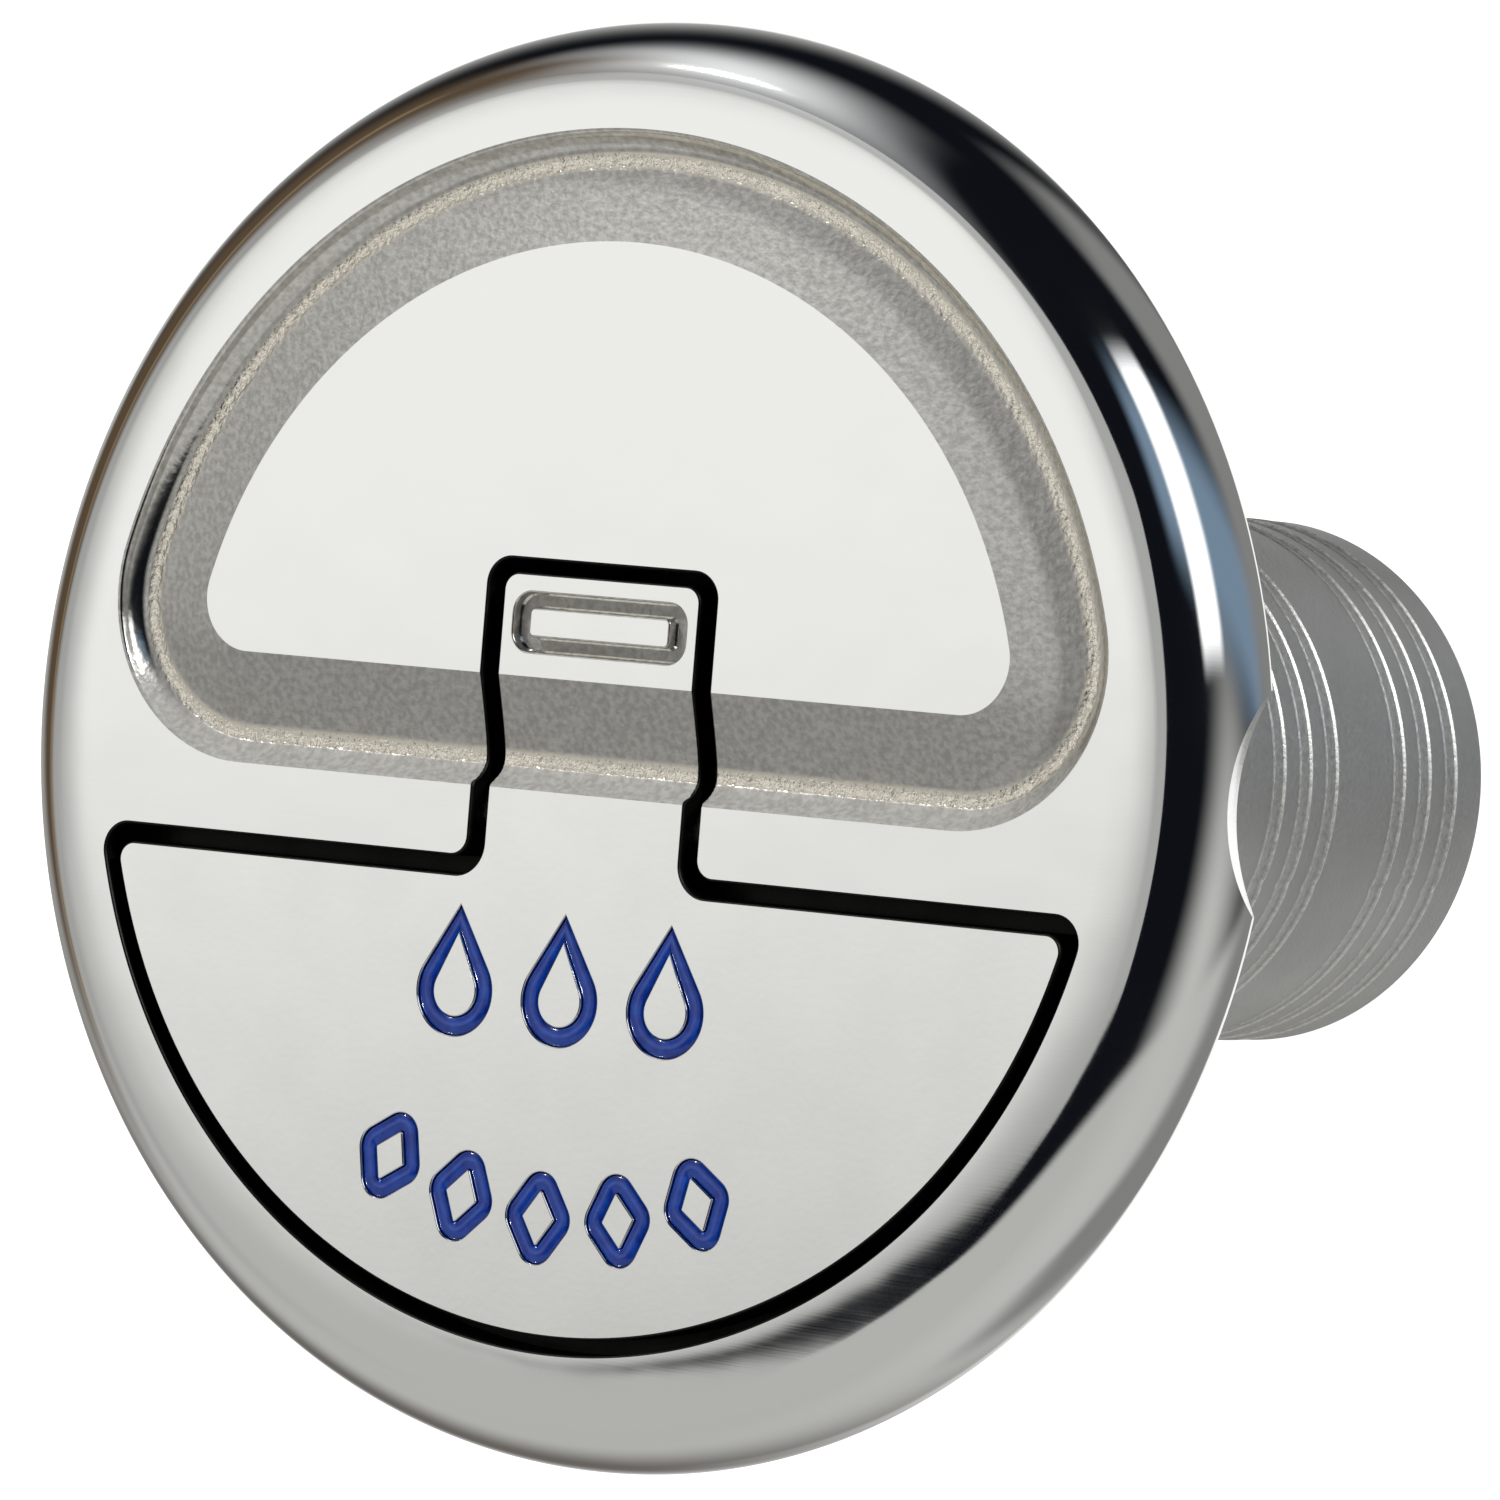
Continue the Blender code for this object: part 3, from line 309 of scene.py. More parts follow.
def noise(tree, size, detail, roughness=0.5):
    """Cloudy pattern in the piece's own space, with features about size across."""
    place = add_node(tree, "ShaderNodeTexCoord", {}, {}).outputs["Object"]
    return add_node(tree, "ShaderNodeTexNoise", {}, {
        "Vector": place, "Scale": 1 / size, "Detail": detail, "Roughness": roughness}).outputs["Fac"]


def two_tones(tree, factor, low, dark, high, pale):
    """Blend from one sRGB colour to another as a pattern goes from low to high."""
    ramp = add_node(tree, "ShaderNodeValToRGB", {}, {"Fac": factor})
    for element, position, colour in zip(ramp.color_ramp.elements, (low, high), (dark, pale)):
        element.position = position
        element.color = linear(colour)
    return ramp.outputs["Color"]


def spread(tree, factor, low, high, start=0.0, end=1.0, interpolation="LINEAR"):
    """Value that goes from low to high as a pattern goes from start to end."""
    return add_node(tree, "ShaderNodeMapRange", {"interpolation_type": interpolation},
                    {0: factor, 1: start, 2: end, 3: low, 4: high}).outputs[0]


def bumps(tree, height, strength, depth):
    """Normal that a pattern of a given depth gives the surface."""
    return add_node(tree, "ShaderNodeBump", {}, {
        "Height": height, "Strength": strength, "Distance": depth}).outputs["Normal"]


def link_all(tree, shader, links):
    """Link each value to the shader's socket of that name."""
    for name, value in links.items():
        tree.links.new(value, shader.inputs[name])


# Moulded rubber: a dull near-black skin with faint mottling, a little paler where it catches light.
rubber, tree, shader = new_material("moulded_epdm_rubber", {})
mottle = noise(tree, 1.2 * MM, 4.0)
link_all(tree, shader, {
    "Base Color": two_tones(tree, mottle, 0.0, "141414", 1.0, "262626"),
    "Roughness": spread(tree, mottle, 0.55, 0.75),
    "Normal": bumps(tree, mottle, 0.5, 0.05 * MM)})

gasket_low, gasket_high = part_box("deck_gasket")
profile = [(GASKET_INNER_R, gasket_low.z), (GASKET_INNER_R, gasket_high.z),
           (GASKET_OUTER_R - GASKET_EDGE, gasket_high.z), (GASKET_OUTER_R, gasket_high.z - GASKET_EDGE),
           (GASKET_OUTER_R, gasket_low.z + GASKET_EDGE), (GASKET_OUTER_R - GASKET_EDGE, gasket_low.z)]
gasket = new_object("deck_gasket_ring", turned(profile), rubber)
shaped(gasket, hole_tools(SCREW_HOLE_R, gasket_low.z - BEYOND, gasket_high.z + BEYOND, screw_places()))
finished(gasket, "deck", ["deck_gasket"])


# ---- Deck flange, socket and hose neck
# One investment casting in 316 stainless steel, bead-blasted to an even grey. The socket is threaded
# inside, and the neck has turned grooves for the hose and a faint ridge where the wax mould parted.
FLANGE_TOP = 3.8 * MM
FLANGE_BOTTOM = 1.5 * MM
FLANGE_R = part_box("deck_flange")[1].x
FLANGE_EDGE = 0.6 * MM
SOCKET_R = 22.2 * MM
SOCKET_END = -15.2 * MM
SOCKET_MOUTH = 0.6 * MM
BOSS_R = 24.8 * MM
BOSS_END = -16.0 * MM
BOSS_CONE_END = -23.0 * MM
BOSS_ROOT_R = 1.5 * MM
BOSS_CHAMFER = (0.3 * MM, 1.0 * MM)
NECK_ROOT = (0.4 * MM, 0.6 * MM)
NECK_R = 19.0 * MM
NECK_BORE_R = 17.0 * MM
NECK_CONE_END = -20.6 * MM
NECK_EDGE = 0.4 * MM
NECK_GROOVE_DEPTHS = (58.1, 61.7, 65.3, 74.7, 78.3, 82.0)
NECK_GROOVE_HALF = 0.75 * MM
NECK_GROOVE_SINK = 0.1 * MM
NECK_LIP = 0.06 * MM
NECK_LIP_HALF = 0.2 * MM
NECK_FLANK = 0.18 * MM
NECK_FLOOR_IN = 0.35 * MM
NECK_FLOOR_RISE = 0.03 * MM
NECK_BORE_EDGE = 0.2 * MM
PARTING_ANGLE = math.radians(-20.6)
PARTING_RIDGE = 0.015 * MM
PARTING_KINK = 0.2 * MM
HIGHLIGHT_MARGIN = 0.02 * MM
GROOVE_FLOOR_HIGHLIGHT = 0.35
SCREW_SINK_R = 4.8 * MM
SCREW_SINK_DEPTH = 2.2 * MM
SINK_STEPS = 48
THREAD_LEAD = 8.0 * MM
THREAD_STARTS = 2
THREAD_HEIGHT = 1.2 * MM
THREAD_BASE = 2.0 * MM
THREAD_CREST = 1.2 * MM
THREAD_SINK = 0.3 * MM
THREAD_ROUND = 0.2 * MM
THREAD_FLAT_IN = 0.25 * MM
FEMALE_TOP = -2.6 * MM
FEMALE_BOTTOM = -11.6 * MM
LATHE_PITCH = 0.25 * MM

# Bead-blasted cast stainless: soft mid grey without a clear reflection, a fine even grain of dents and
# slow cloudy changes of tone. A painted highlight: a pale colour in grainy patches on the proud lips of the
# neck's grooves, weaker in the groove floors, for the bright lines of light along each groove.
blasted, tree, shader = new_material("bead_blasted_cast_steel", {"Metallic": 1.0})
grit = noise(tree, 0.35 * MM, 3.0, 0.6)
cloud = noise(tree, 14 * MM, 3.0, 0.55)
blend = maths(tree, "MULTIPLY_ADD", grit, 0.35, cloud)
groove_highlight = add_node(tree, "ShaderNodeAttribute", {"attribute_name": "groove_highlight"}, {}).outputs["Fac"]
# Painted highlight mask on the neck's grooves, broken up by the grain.
highlight_patches = maths(tree, "MULTIPLY", groove_highlight, spread(tree, grit, 0.25, 1.0, 0.35, 0.6))
cloudy = two_tones(tree, blend, 0.45, "B9B9B6", 0.9, "CBCBC8")
link_all(tree, shader, {
    "Base Color": mixed(tree, highlight_patches, cloudy, linear("F4F2EC")),
    "Roughness": spread(tree, grit, 0.42, 0.58, 0.3, 0.7),
    "Normal": bumps(tree, grit, 0.55, 0.07 * MM)})


def tool_rings(tree, pitch, distortion, detail):
    """Rings round the Z axis, as a lathe or mill leaves them; pitch is from crest to crest."""
    place = add_node(tree, "ShaderNodeTexCoord", {}, {}).outputs["Object"]
    return add_node(tree, "ShaderNodeTexWave", {"wave_type": "RINGS", "rings_direction": "Z"}, {
        "Vector": place, "Scale": 2 * math.pi / (20 * pitch), "Distortion": distortion,
        "Detail": detail}).outputs["Fac"]


# Turned stainless: bright steel with the fine rings that a lathe tool leaves.
lathe, tree, shader = new_material("lathe_turned_steel", {"Metallic": 1.0, "Base Color": linear("B9B8B5")})
link_all(tree, shader, {
    "Roughness": spread(tree, noise(tree, 3 * MM, 4.0), 0.2, 0.42),
    "Normal": bumps(tree, tool_rings(tree, LATHE_PITCH, 0.3, 1.0), 0.25, 0.02 * MM)})


def arc(x, y, radius, start, end, steps):
    """Points along an arc, angles in degrees, both ends included."""
    angles = [math.radians(start + (end - start) * i / steps) for i in range(steps + 1)]
    return [(x + radius * math.cos(a), y + radius * math.sin(a)) for a in angles]


def neck_groove(z):
    """Profile of one hose groove, upper lip to lower lip; the lips stand a hair proud, as a burr."""
    floor_r = NECK_R - NECK_GROOVE_SINK
    upper, lower = z + NECK_GROOVE_HALF, z - NECK_GROOVE_HALF
    return [(NECK_R, upper + NECK_LIP_HALF), (NECK_R + NECK_LIP, upper),
            (floor_r + NECK_FLOOR_RISE, upper - NECK_FLANK), (floor_r, upper - NECK_FLOOR_IN),
            (floor_r, lower + NECK_FLOOR_IN), (floor_r + NECK_FLOOR_RISE, lower + NECK_FLANK),
            (NECK_R + NECK_LIP, lower), (NECK_R, lower - NECK_LIP_HALF)]


def thread_tools(root_r, height, top, bottom, phase):
    """The ridges of a thread, one for each start, to be joined to a wall."""
    outward = math.copysign(1.0, height)
    sunk_r = root_r - outward * THREAD_SINK
    crest_r = root_r + height
    round_r = crest_r - outward * THREAD_ROUND
    half, crest = THREAD_BASE / 2, THREAD_CREST / 2
    section = ((sunk_r, -half), (root_r, -half), (round_r, -crest), (crest_r, -crest + THREAD_FLAT_IN),
               (crest_r, crest - THREAD_FLAT_IN), (round_r, crest), (root_r, half), (sunk_r, half))
    turns = (top - bottom) / THREAD_LEAD
    steps = math.ceil(turns * TURN_STEPS)
    for start in range(THREAD_STARTS):
        bm = bmesh.new()
        angle = 2 * math.pi * (start / THREAD_STARTS + (bottom - phase) / THREAD_LEAD)
        verts = [bm.verts.new((r * math.cos(angle), r * math.sin(angle), bottom + dz)) for r, dz in section]
        edges = [bm.edges.new(pair) for pair in zip(verts, verts[1:] + verts[:1])]
        bmesh.ops.spin(bm, geom=verts + edges, cent=(0, 0, 0), axis=(0, 0, 1), angle=2 * math.pi * turns,
                       dvec=(0, 0, (top - bottom) / steps), steps=steps, use_merge=False)
        bmesh.ops.holes_fill(bm, edges=bm.edges, sides=0)
        yield new_object("thread tool", bm, lathe)


profile = [(SOCKET_R + SOCKET_MOUTH, FLANGE_TOP), (FLANGE_R - FLANGE_EDGE, FLANGE_TOP)]
profile += arc(FLANGE_R - FLANGE_EDGE, FLANGE_TOP - FLANGE_EDGE, FLANGE_EDGE, 90, 0, 6)[1:]
profile += [(FLANGE_R, FLANGE_BOTTOM), (BOSS_R + BOSS_ROOT_R, FLANGE_BOTTOM)]
profile += arc(BOSS_R + BOSS_ROOT_R, FLANGE_BOTTOM - BOSS_ROOT_R, BOSS_ROOT_R, 90, 180, 8)[1:]
profile += [(BOSS_R, BOSS_END + BOSS_CHAMFER[1]), (BOSS_R - BOSS_CHAMFER[0], BOSS_END),
            (NECK_R + NECK_ROOT[0], BOSS_CONE_END + NECK_ROOT[1]), (NECK_R, BOSS_CONE_END - NECK_ROOT[1])]
for depth in NECK_GROOVE_DEPTHS:
    profile += neck_groove(FACE_Z - depth * MM)
profile += [(NECK_R, NECK_END + NECK_EDGE), (NECK_R - 0.3 * NECK_EDGE, NECK_END + 0.3 * NECK_EDGE),
            (NECK_R - NECK_EDGE, NECK_END)]
profile += [(NECK_BORE_R + NECK_BORE_EDGE, NECK_END), (NECK_BORE_R, NECK_END + NECK_BORE_EDGE),
            (NECK_BORE_R, NECK_CONE_END), (SOCKET_R, SOCKET_END), (SOCKET_R, FLANGE_TOP - SOCKET_MOUTH)]
bm = turned(profile)
groove_highlight_layer = bm.verts.layers.float.new("groove_highlight")
# Painted highlight weights: 1 on the groove lips, less in the groove floors.
for vert in bm.verts:
    radius, angle = vert.co.xy.length, math.atan2(vert.co.y, vert.co.x)
    on_neck = NECK_R - 2 * NECK_GROOVE_SINK < radius and NECK_END + NECK_EDGE < vert.co.z < BOSS_CONE_END
    if on_neck and radius < NECK_R - HIGHLIGHT_MARGIN:
        vert[groove_highlight_layer] = GROOVE_FLOOR_HIGHLIGHT
    elif on_neck and radius > NECK_R + HIGHLIGHT_MARGIN:
        vert[groove_highlight_layer] = 1.0
    if on_neck and abs(angle - PARTING_ANGLE) < math.pi / TURN_STEPS:
        vert.co *= Vector((1 + PARTING_RIDGE / radius, 1 + PARTING_RIDGE / radius, 1))
        vert.co.z += PARTING_KINK
flange = new_object("cast_flange_and_neck", bm, blasted)
half_pitch = THREAD_LEAD / THREAD_STARTS / 2
shaped(flange, thread_tools(SOCKET_R, -THREAD_HEIGHT, FEMALE_TOP, FEMALE_BOTTOM, half_pitch), "UNION")
sink = [(SCREW_HOLE_R, FLANGE_BOTTOM - BEYOND), (SCREW_HOLE_R, FLANGE_TOP - SCREW_SINK_DEPTH),
        (SCREW_SINK_R, FLANGE_TOP), (SCREW_SINK_R, FLANGE_TOP + BEYOND)]
shaped(flange, [new_object("sink tool", turned(sink, closed=False, steps=SINK_STEPS, x=x, y=y), lathe)
                for x, y in screw_places()])
finished(flange, "deck", ["deck_flange"])


# ---- Flange screws
# Countersunk stainless wood screws with a cross recess, driven down through the flange and gasket
# into the deck. The thread is rolled and the head is turned.
SCREW_HEAD_R = 4.5 * MM
SCREW_SHANK_R = 2.3 * MM
SCREW_CORE_R = 1.75 * MM
SCREW_TIP = 3.0 * MM
SCREW_PITCH = 1.8 * MM
SCREW_PLAIN = 5.0 * MM
SCREW_NECK = 0.5 * MM
SCREW_EDGE = 0.15 * MM
RIDGE_SINK = 0.2 * MM
RIDGE_BASE = 0.8 * MM
RIDGE_CREST = 0.16 * MM
RIDGE_STEPS = 24
SCREW_STEPS = 36
RECESS_HALF = 2.2 * MM
RECESS_WIDTH = 0.9 * MM
RECESS_DEPTH = 1.6 * MM

for i, (x, y) in enumerate(screw_places()):
    low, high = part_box(f"flange_screw_{i + 1}")
    ridge_low, ridge_high = low.z + SCREW_TIP, high.z - SCREW_PLAIN - SCREW_NECK
    profile = [(SCREW_HEAD_R - SCREW_EDGE, high.z), (SCREW_HEAD_R, high.z - SCREW_EDGE),
               (SCREW_SHANK_R, high.z - SCREW_SINK_DEPTH), (SCREW_SHANK_R, high.z - SCREW_PLAIN),
               (SCREW_CORE_R, ridge_high), (SCREW_CORE_R, ridge_low), (0.1 * MM, low.z + 0.05 * MM)]
    screw = new_object(f"wood_screw_{i + 1}", turned(profile, closed=False, steps=SCREW_STEPS), lathe)
    bm = bmesh.new()
    verts = [bm.verts.new((radius, 0.0, ridge_low + dz)) for radius, dz in (
        (SCREW_CORE_R - RIDGE_SINK, -RIDGE_BASE / 2), (SCREW_SHANK_R, -RIDGE_CREST / 2),
        (SCREW_SHANK_R, RIDGE_CREST / 2), (SCREW_CORE_R - RIDGE_SINK, RIDGE_BASE / 2))]
    edges = [bm.edges.new(pair) for pair in zip(verts, verts[1:] + verts[:1])]
    turns = (ridge_high - ridge_low) / SCREW_PITCH
    steps = math.ceil(turns * RIDGE_STEPS)
    bmesh.ops.spin(bm, geom=verts + edges, cent=(0, 0, 0), axis=(0, 0, 1), angle=2 * math.pi * turns,
                   dvec=(0, 0, (ridge_high - ridge_low) / steps), steps=steps, use_merge=False)
    bmesh.ops.holes_fill(bm, edges=bm.edges, sides=0)
    shaped(screw, [new_object("ridge tool", bm, lathe)], "UNION")
    slots = []
    for turn in (0.0, math.pi / 2):
        bm = bmesh.new()
        bmesh.ops.create_cone(bm, cap_ends=True, segments=4, radius1=0.5 * MM, radius2=RECESS_HALF * 1.5,
                              depth=RECESS_DEPTH * 1.5, matrix=Matrix.Rotation(math.pi / 4, 4, "Z"))
        bmesh.ops.scale(bm, verts=bm.verts, vec=(1.0, RECESS_WIDTH / (2 * RECESS_HALF), 1.0))
        bmesh.ops.rotate(bm, verts=bm.verts, cent=(0, 0, 0), matrix=Matrix.Rotation(turn + 0.4 * i, 3, "Z"))
        bmesh.ops.translate(bm, verts=bm.verts, vec=(0, 0, high.z - RECESS_DEPTH / 4))
        slots.append(new_object("recess tool", bm, lathe))
    shaped(screw, slots)
    screw.data.transform(Matrix.Translation((x, y, 0.0)))
    finished(screw, "deck", [f"flange_screw_{i + 1}"])


# ---- Seat gasket
# A flat rubber ring on top of the flange that the cap's plate presses on, with slightly round edges.
seat_low, seat_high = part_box("seat_gasket")
SEAT_INNER_R = 24.5 * MM
SEAT_EDGE = 0.25 * MM
profile = []
for radius, z, start in ((SEAT_INNER_R + SEAT_EDGE, seat_low.z + SEAT_EDGE, 180),
                         (seat_high.x - SEAT_EDGE, seat_low.z + SEAT_EDGE, 270),
                         (seat_high.x - SEAT_EDGE, seat_high.z - SEAT_EDGE, 0),
                         (SEAT_INNER_R + SEAT_EDGE, seat_high.z - SEAT_EDGE, 90)):
    profile += arc(radius, z, SEAT_EDGE, start, start + 90, 4)
finished(new_object("seat_gasket_ring", turned(profile), rubber), "deck", ["seat_gasket"])


# ---- Cap's O-ring
# A moulded rubber ring in the groove of the skirt, which seals the cap against the socket. It rises
# with the cap, which turns inside it.
ring_low, ring_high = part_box("cap_o_ring")
ring_wire = (ring_high.z - ring_low.z) / 2
profile = arc(ring_high.x - ring_wire, (ring_low.z + ring_high.z) / 2, ring_wire, 0, 345, 23)
finished(new_object("o_ring", turned(profile), rubber), "seal", ["cap_o_ring"])


# ---- Cap
# One 316 stainless casting: disc, domed rim and threaded skirt. The face and rim are buffed to a
# mirror, the D-shaped groove keeps the grain of the casting, and the skirt is turned. A scallop in
# the rim's lower edge takes a fingertip.
CAP_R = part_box("cap_cover")[1].y
CAP_STEPS = 240
FIT = 0.3 * MM
RIM_HEIGHT = 8.2 * MM
DOME_WIDTH = 4.5 * MM
DOME_DROP = 7.0 * MM
CROWN_DROP = 0.14 * MM
CROWN_STEPS = 13
RIM_EDGE_R = RIM_HEIGHT - DOME_DROP
RIM_INNER_R = 44.6 * MM
PLATE_BOTTOM = FACE_Z - 5.3 * MM
SCALLOP_R = 15.7 * MM
SCALLOP_REACH = 45.9 * MM
SCALLOP_LEAN = math.radians(25.0)
SKIRT_LAND_R = 21.6 * MM
SKIRT_CORE_R = 20.6 * MM
SKIRT_INNER_R = 17.8 * MM
SKIRT_LAND_Z = -1.0 * MM
SKIRT_END = -14.2 * MM
SKIRT_CHAMFER = 0.6 * MM
O_RING_SEAT_R = ring_high.x - 2 * ring_wire - FIT
O_RING_SEAT = (ring_low.z - FIT, ring_high.z + FIT)
MALE_TOP = -2.2 * MM
MALE_BOTTOM = -9.4 * MM
disc_low, disc_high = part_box("closing_disc")
clip_low, clip_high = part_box("circlip")
DISC_SEAT_R = disc_high.x + FIT
CLIP_SEAT_R = 19.4 * MM
POCKET_R = 40.92 * MM
POCKET_EDGE_Y = -8.35 * MM
POCKET_END_R = 1.8 * MM
POCKET_FLOOR = FACE_Z - 3.9 * MM
SLOT_HALF = 9.25 * MM
SLOT_TIP_Y = 12.0 * MM
SLOT_TIP_R = 1.8 * MM
SLOT_ROOT_R = 1.4 * MM
OPENING_EDGE = 0.2 * MM
GROOVE_R = 41.0 * MM
GROOVE_EDGE_Y = -3.15 * MM
GROOVE_CORNER_R = 11.0 * MM
GROOVE_LIP_R = 0.4 * MM
ABOVE = 0.5 * MM
GROOVE_SECTION = ((0.0, -0.3), (0.25, -0.75), (0.8, -1.32), (1.4, -1.58), (2.3, -1.52), (3.8, -1.13),
                  (5.6, -0.56), (7.29, 0.0), (8.8, 0.5))

# Mirror-buffed stainless: clear reflections with a trace of haze where the mop has worked longer,
# a very slight waviness left from the casting, and hairline scratches from wiping.
mirror, tree, shader = new_material("mirror_buffed_stainless", {
    "Metallic": 1.0, "Base Color": linear("F0F0EE")})
place = add_node(tree, "ShaderNodeTexCoord", {}, {}).outputs["Object"]
hair = add_node(tree, "ShaderNodeMapping", {}, {"Vector": place, "Rotation": (0.0, 0.0, 0.5),
                                               "Scale": (1 / (12 * MM), 1 / (0.12 * MM), 1 / (3 * MM))})
hairline = add_node(tree, "ShaderNodeTexNoise", {}, {
    "Vector": hair.outputs[0], "Scale": 1.0, "Detail": 2.0}).outputs["Fac"]
rub = maths(tree, "MULTIPLY_ADD", hairline, 0.5, noise(tree, 9 * MM, 4.0))
scratch = add_node(tree, "ShaderNodeBump", {}, {
    "Height": hairline, "Strength": 1.0, "Distance": 0.0003 * MM,
    "Normal": bumps(tree, noise(tree, 7 * MM, 1.0), 1.0, 0.02 * MM)})
link_all(tree, shader, {
    "Roughness": spread(tree, rub, 0.03, 0.11, 0.4, 1.2),
    "Normal": scratch.outputs["Normal"]})

# Cast grain of the groove: lumpy grey skin as it left the mould, grains near half a millimetre. The
# buffing wheel has touched the curved wall. A painted highlight: a band at the depth of the groove's corner
# is coloured pale cream and made metallic and smoother, for the bright line of light in the corner.
grain, tree, shader = new_material("as_cast_steel_skin", {})
coordinates = add_node(tree, "ShaderNodeTexCoord", {}, {})
split = add_node(tree, "ShaderNodeSeparateXYZ", {}, {"Vector": coordinates.outputs["Object"]})
facing = add_node(tree, "ShaderNodeSeparateXYZ", {}, {"Vector": coordinates.outputs["Normal"]})
steep = spread(tree, facing.outputs["Z"], 0.0, 1.0, 0.9, 0.78, "SMOOTHSTEP")
curved = spread(tree, split.outputs["Y"], 0.0, 1.0, 0.5 * MM, 4 * MM, "SMOOTHSTEP")
buffed = maths(tree, "MULTIPLY", steep, curved)
# Painted highlight: mask of the band at the corner's depth, which gets the pale cream colour.
corner = spread(tree, split.outputs["Z"], 0.0, 1.0, FACE_Z - 1.48 * MM, FACE_Z - 1.56 * MM, "SMOOTHSTEP")
lumps = noise(tree, 0.45 * MM, 2.0)
# Painted shade: the groove's colour is darkened to 0.84 below the top of the D and reaches full brightness
# only above y = 7 mm.
painted_shade = spread(tree, split.outputs["Y"], 0.84, 1.0, 3.5 * MM, 7 * MM, "SMOOTHSTEP")
level = add_node(tree, "ShaderNodeVectorMath", {"operation": "SCALE"}, {
    0: two_tones(tree, lumps, 0.35, "CFCDC7", 0.65, "ECEAE4"), "Scale": painted_shade})
rough = add_node(tree, "ShaderNodeMix", {}, {0: buffed, 2: spread(tree, corner, 0.55, 0.24), 3: 0.13})
link_all(tree, shader, {
    "Base Color": mixed(tree, corner, level.outputs[0], linear("FBF4E6")),
    "Metallic": spread(tree, maths(tree, "MAXIMUM", corner, buffed), 0.2, 1.0),
    "Roughness": rough.outputs[0],
    "Normal": bumps(tree, lumps, spread(tree, buffed, 0.5, 0.04), 0.2 * MM)})

# Milled pocket: grey steel on the open floor. Painted shade: the colour turns near black along the walls
# and in the tongue's well, where shade falls in the recess, with blotches in the dark tone.
WALL_SHADE_FROM = 2.5 * MM
WALL_SHADE_TO = 5 * MM
CUTTER_PITCH = 0.8 * MM
milled, tree, shader = new_material("milled_recess_steel", {"Metallic": 1.0})
place = add_node(tree, "ShaderNodeTexCoord", {}, {}).outputs["Object"]
flat = add_node(tree, "ShaderNodeVectorMath", {"operation": "MULTIPLY"}, {0: place, 1: (1.0, 1.0, 0.0)})
reach = add_node(tree, "ShaderNodeVectorMath", {"operation": "LENGTH"}, {0: flat.outputs[0]})
across = add_node(tree, "ShaderNodeSeparateXYZ", {}, {"Vector": place})
from_wall = maths(tree, "MINIMUM", maths(tree, "SUBTRACT", POCKET_R, reach.outputs["Value"]),
                  maths(tree, "SUBTRACT", POCKET_EDGE_Y, across.outputs["Y"]))
# Painted shade mask: 0 within a few millimetres of the pocket's walls and above its straight edge, 1 on the
# open floor.
wall_shade_fade = spread(tree, from_wall, 0.0, 1.0, WALL_SHADE_FROM, WALL_SHADE_TO, "SMOOTHSTEP")
blotches = noise(tree, 5 * MM, 6.0)
dark = two_tones(tree, blotches, 0.3, "1E1D1C", 0.75, "3A3937")
link_all(tree, shader, {
    "Base Color": mixed(tree, wall_shade_fade, dark, linear("A3A29F")),
    "Roughness": spread(tree, blotches, 0.32, 0.6),
    "Normal": bumps(tree, tool_rings(tree, CUTTER_PITCH, 1.5, 2.0), 0.2, 0.03 * MM)})


def line(start, end, steps):
    """Points between two points, both left out."""
    return [(start[0] + (end[0] - start[0]) * i / steps, start[1] + (end[1] - start[1]) * i / steps)
            for i in range(1, steps)]


def half_moon(grow, radius, edge_y, end_r, half, tip_y, tip_r, root_r):
    """Outline of a half-moon with its tongue, moved outwards by grow, anticlockwise."""
    radius, edge_y, end_r, half = radius + grow, edge_y + grow, end_r + grow, half + grow
    tip_y, tip_r, root_r = tip_y + grow, tip_r + grow, root_r - grow
    end_y = edge_y - end_r
    end_x = math.sqrt((radius - end_r) ** 2 - end_y ** 2)
    lean = math.degrees(math.atan2(end_y, end_x))
    right = [*arc(end_x, end_y, end_r, lean, 90, 12)[1:],
             *arc(half + root_r, edge_y + root_r, root_r, 270, 180, 12),
             *line((half, edge_y + root_r), (half, tip_y - tip_r), 60),
             *arc(half - tip_r, tip_y - tip_r, tip_r, 0, 90, 12)]
    left = [(-x, y) for x, y in reversed(right)]
    return arc(0, 0, radius, 180 - lean, 360 + lean, 150) + right + left


def smooth_through(points, steps):
    """Points on a smooth curve through the given ones (a Catmull-Rom spline)."""
    ends = [points[0], *points, points[-1]]
    curve = [points[0]]
    for a, b, c, d in zip(ends, ends[1:], ends[2:], ends[3:]):
        for i in range(1, steps + 1):
            t = i / steps
            curve.append(tuple(
                0.5 * (2 * q + (r - p) * t + (2 * p - 5 * q + 4 * r - s) * t * t
                       + (3 * q - p - 3 * r + s) * t ** 3) for p, q, r, s in zip(a, b, c, d)))
    return curve


def groove_outline(inset):
    """Outline of the D, moved inwards by inset."""
    corner = GROOVE_CORNER_R - inset
    corner_y = GROOVE_EDGE_Y + GROOVE_CORNER_R
    corner_x = math.sqrt((GROOVE_R - GROOVE_CORNER_R) ** 2 - corner_y ** 2)
    lean = math.degrees(math.atan2(corner_y, corner_x))
    return (arc(corner_x, corner_y, corner, -90, lean, 36)
            + arc(0, 0, GROOVE_R - inset, lean, 180 - lean, 110)[1:]
            + arc(-corner_x, corner_y, corner, 180 - lean, 270, 36)[1:])


lip = arc(-GROOVE_LIP_R, -GROOVE_LIP_R, GROOVE_LIP_R, 78, 25, 5)
walls = smooth_through([(inset * MM, height * MM) for inset, height in GROOVE_SECTION], 4)
groove_section = lip + walls[2:]


def groove_height(x, y):
    """Height of the face at a place beside the tongue, where the D's straight band runs along X."""
    inset = y - GROOVE_EDGE_Y
    for (near, high_a), (far, high_b) in zip(groove_section, groove_section[1:]):
        if near <= inset < far:
            return min(0.0, high_a + (high_b - high_a) * (inset - near) / (far - near))
    return 0.0


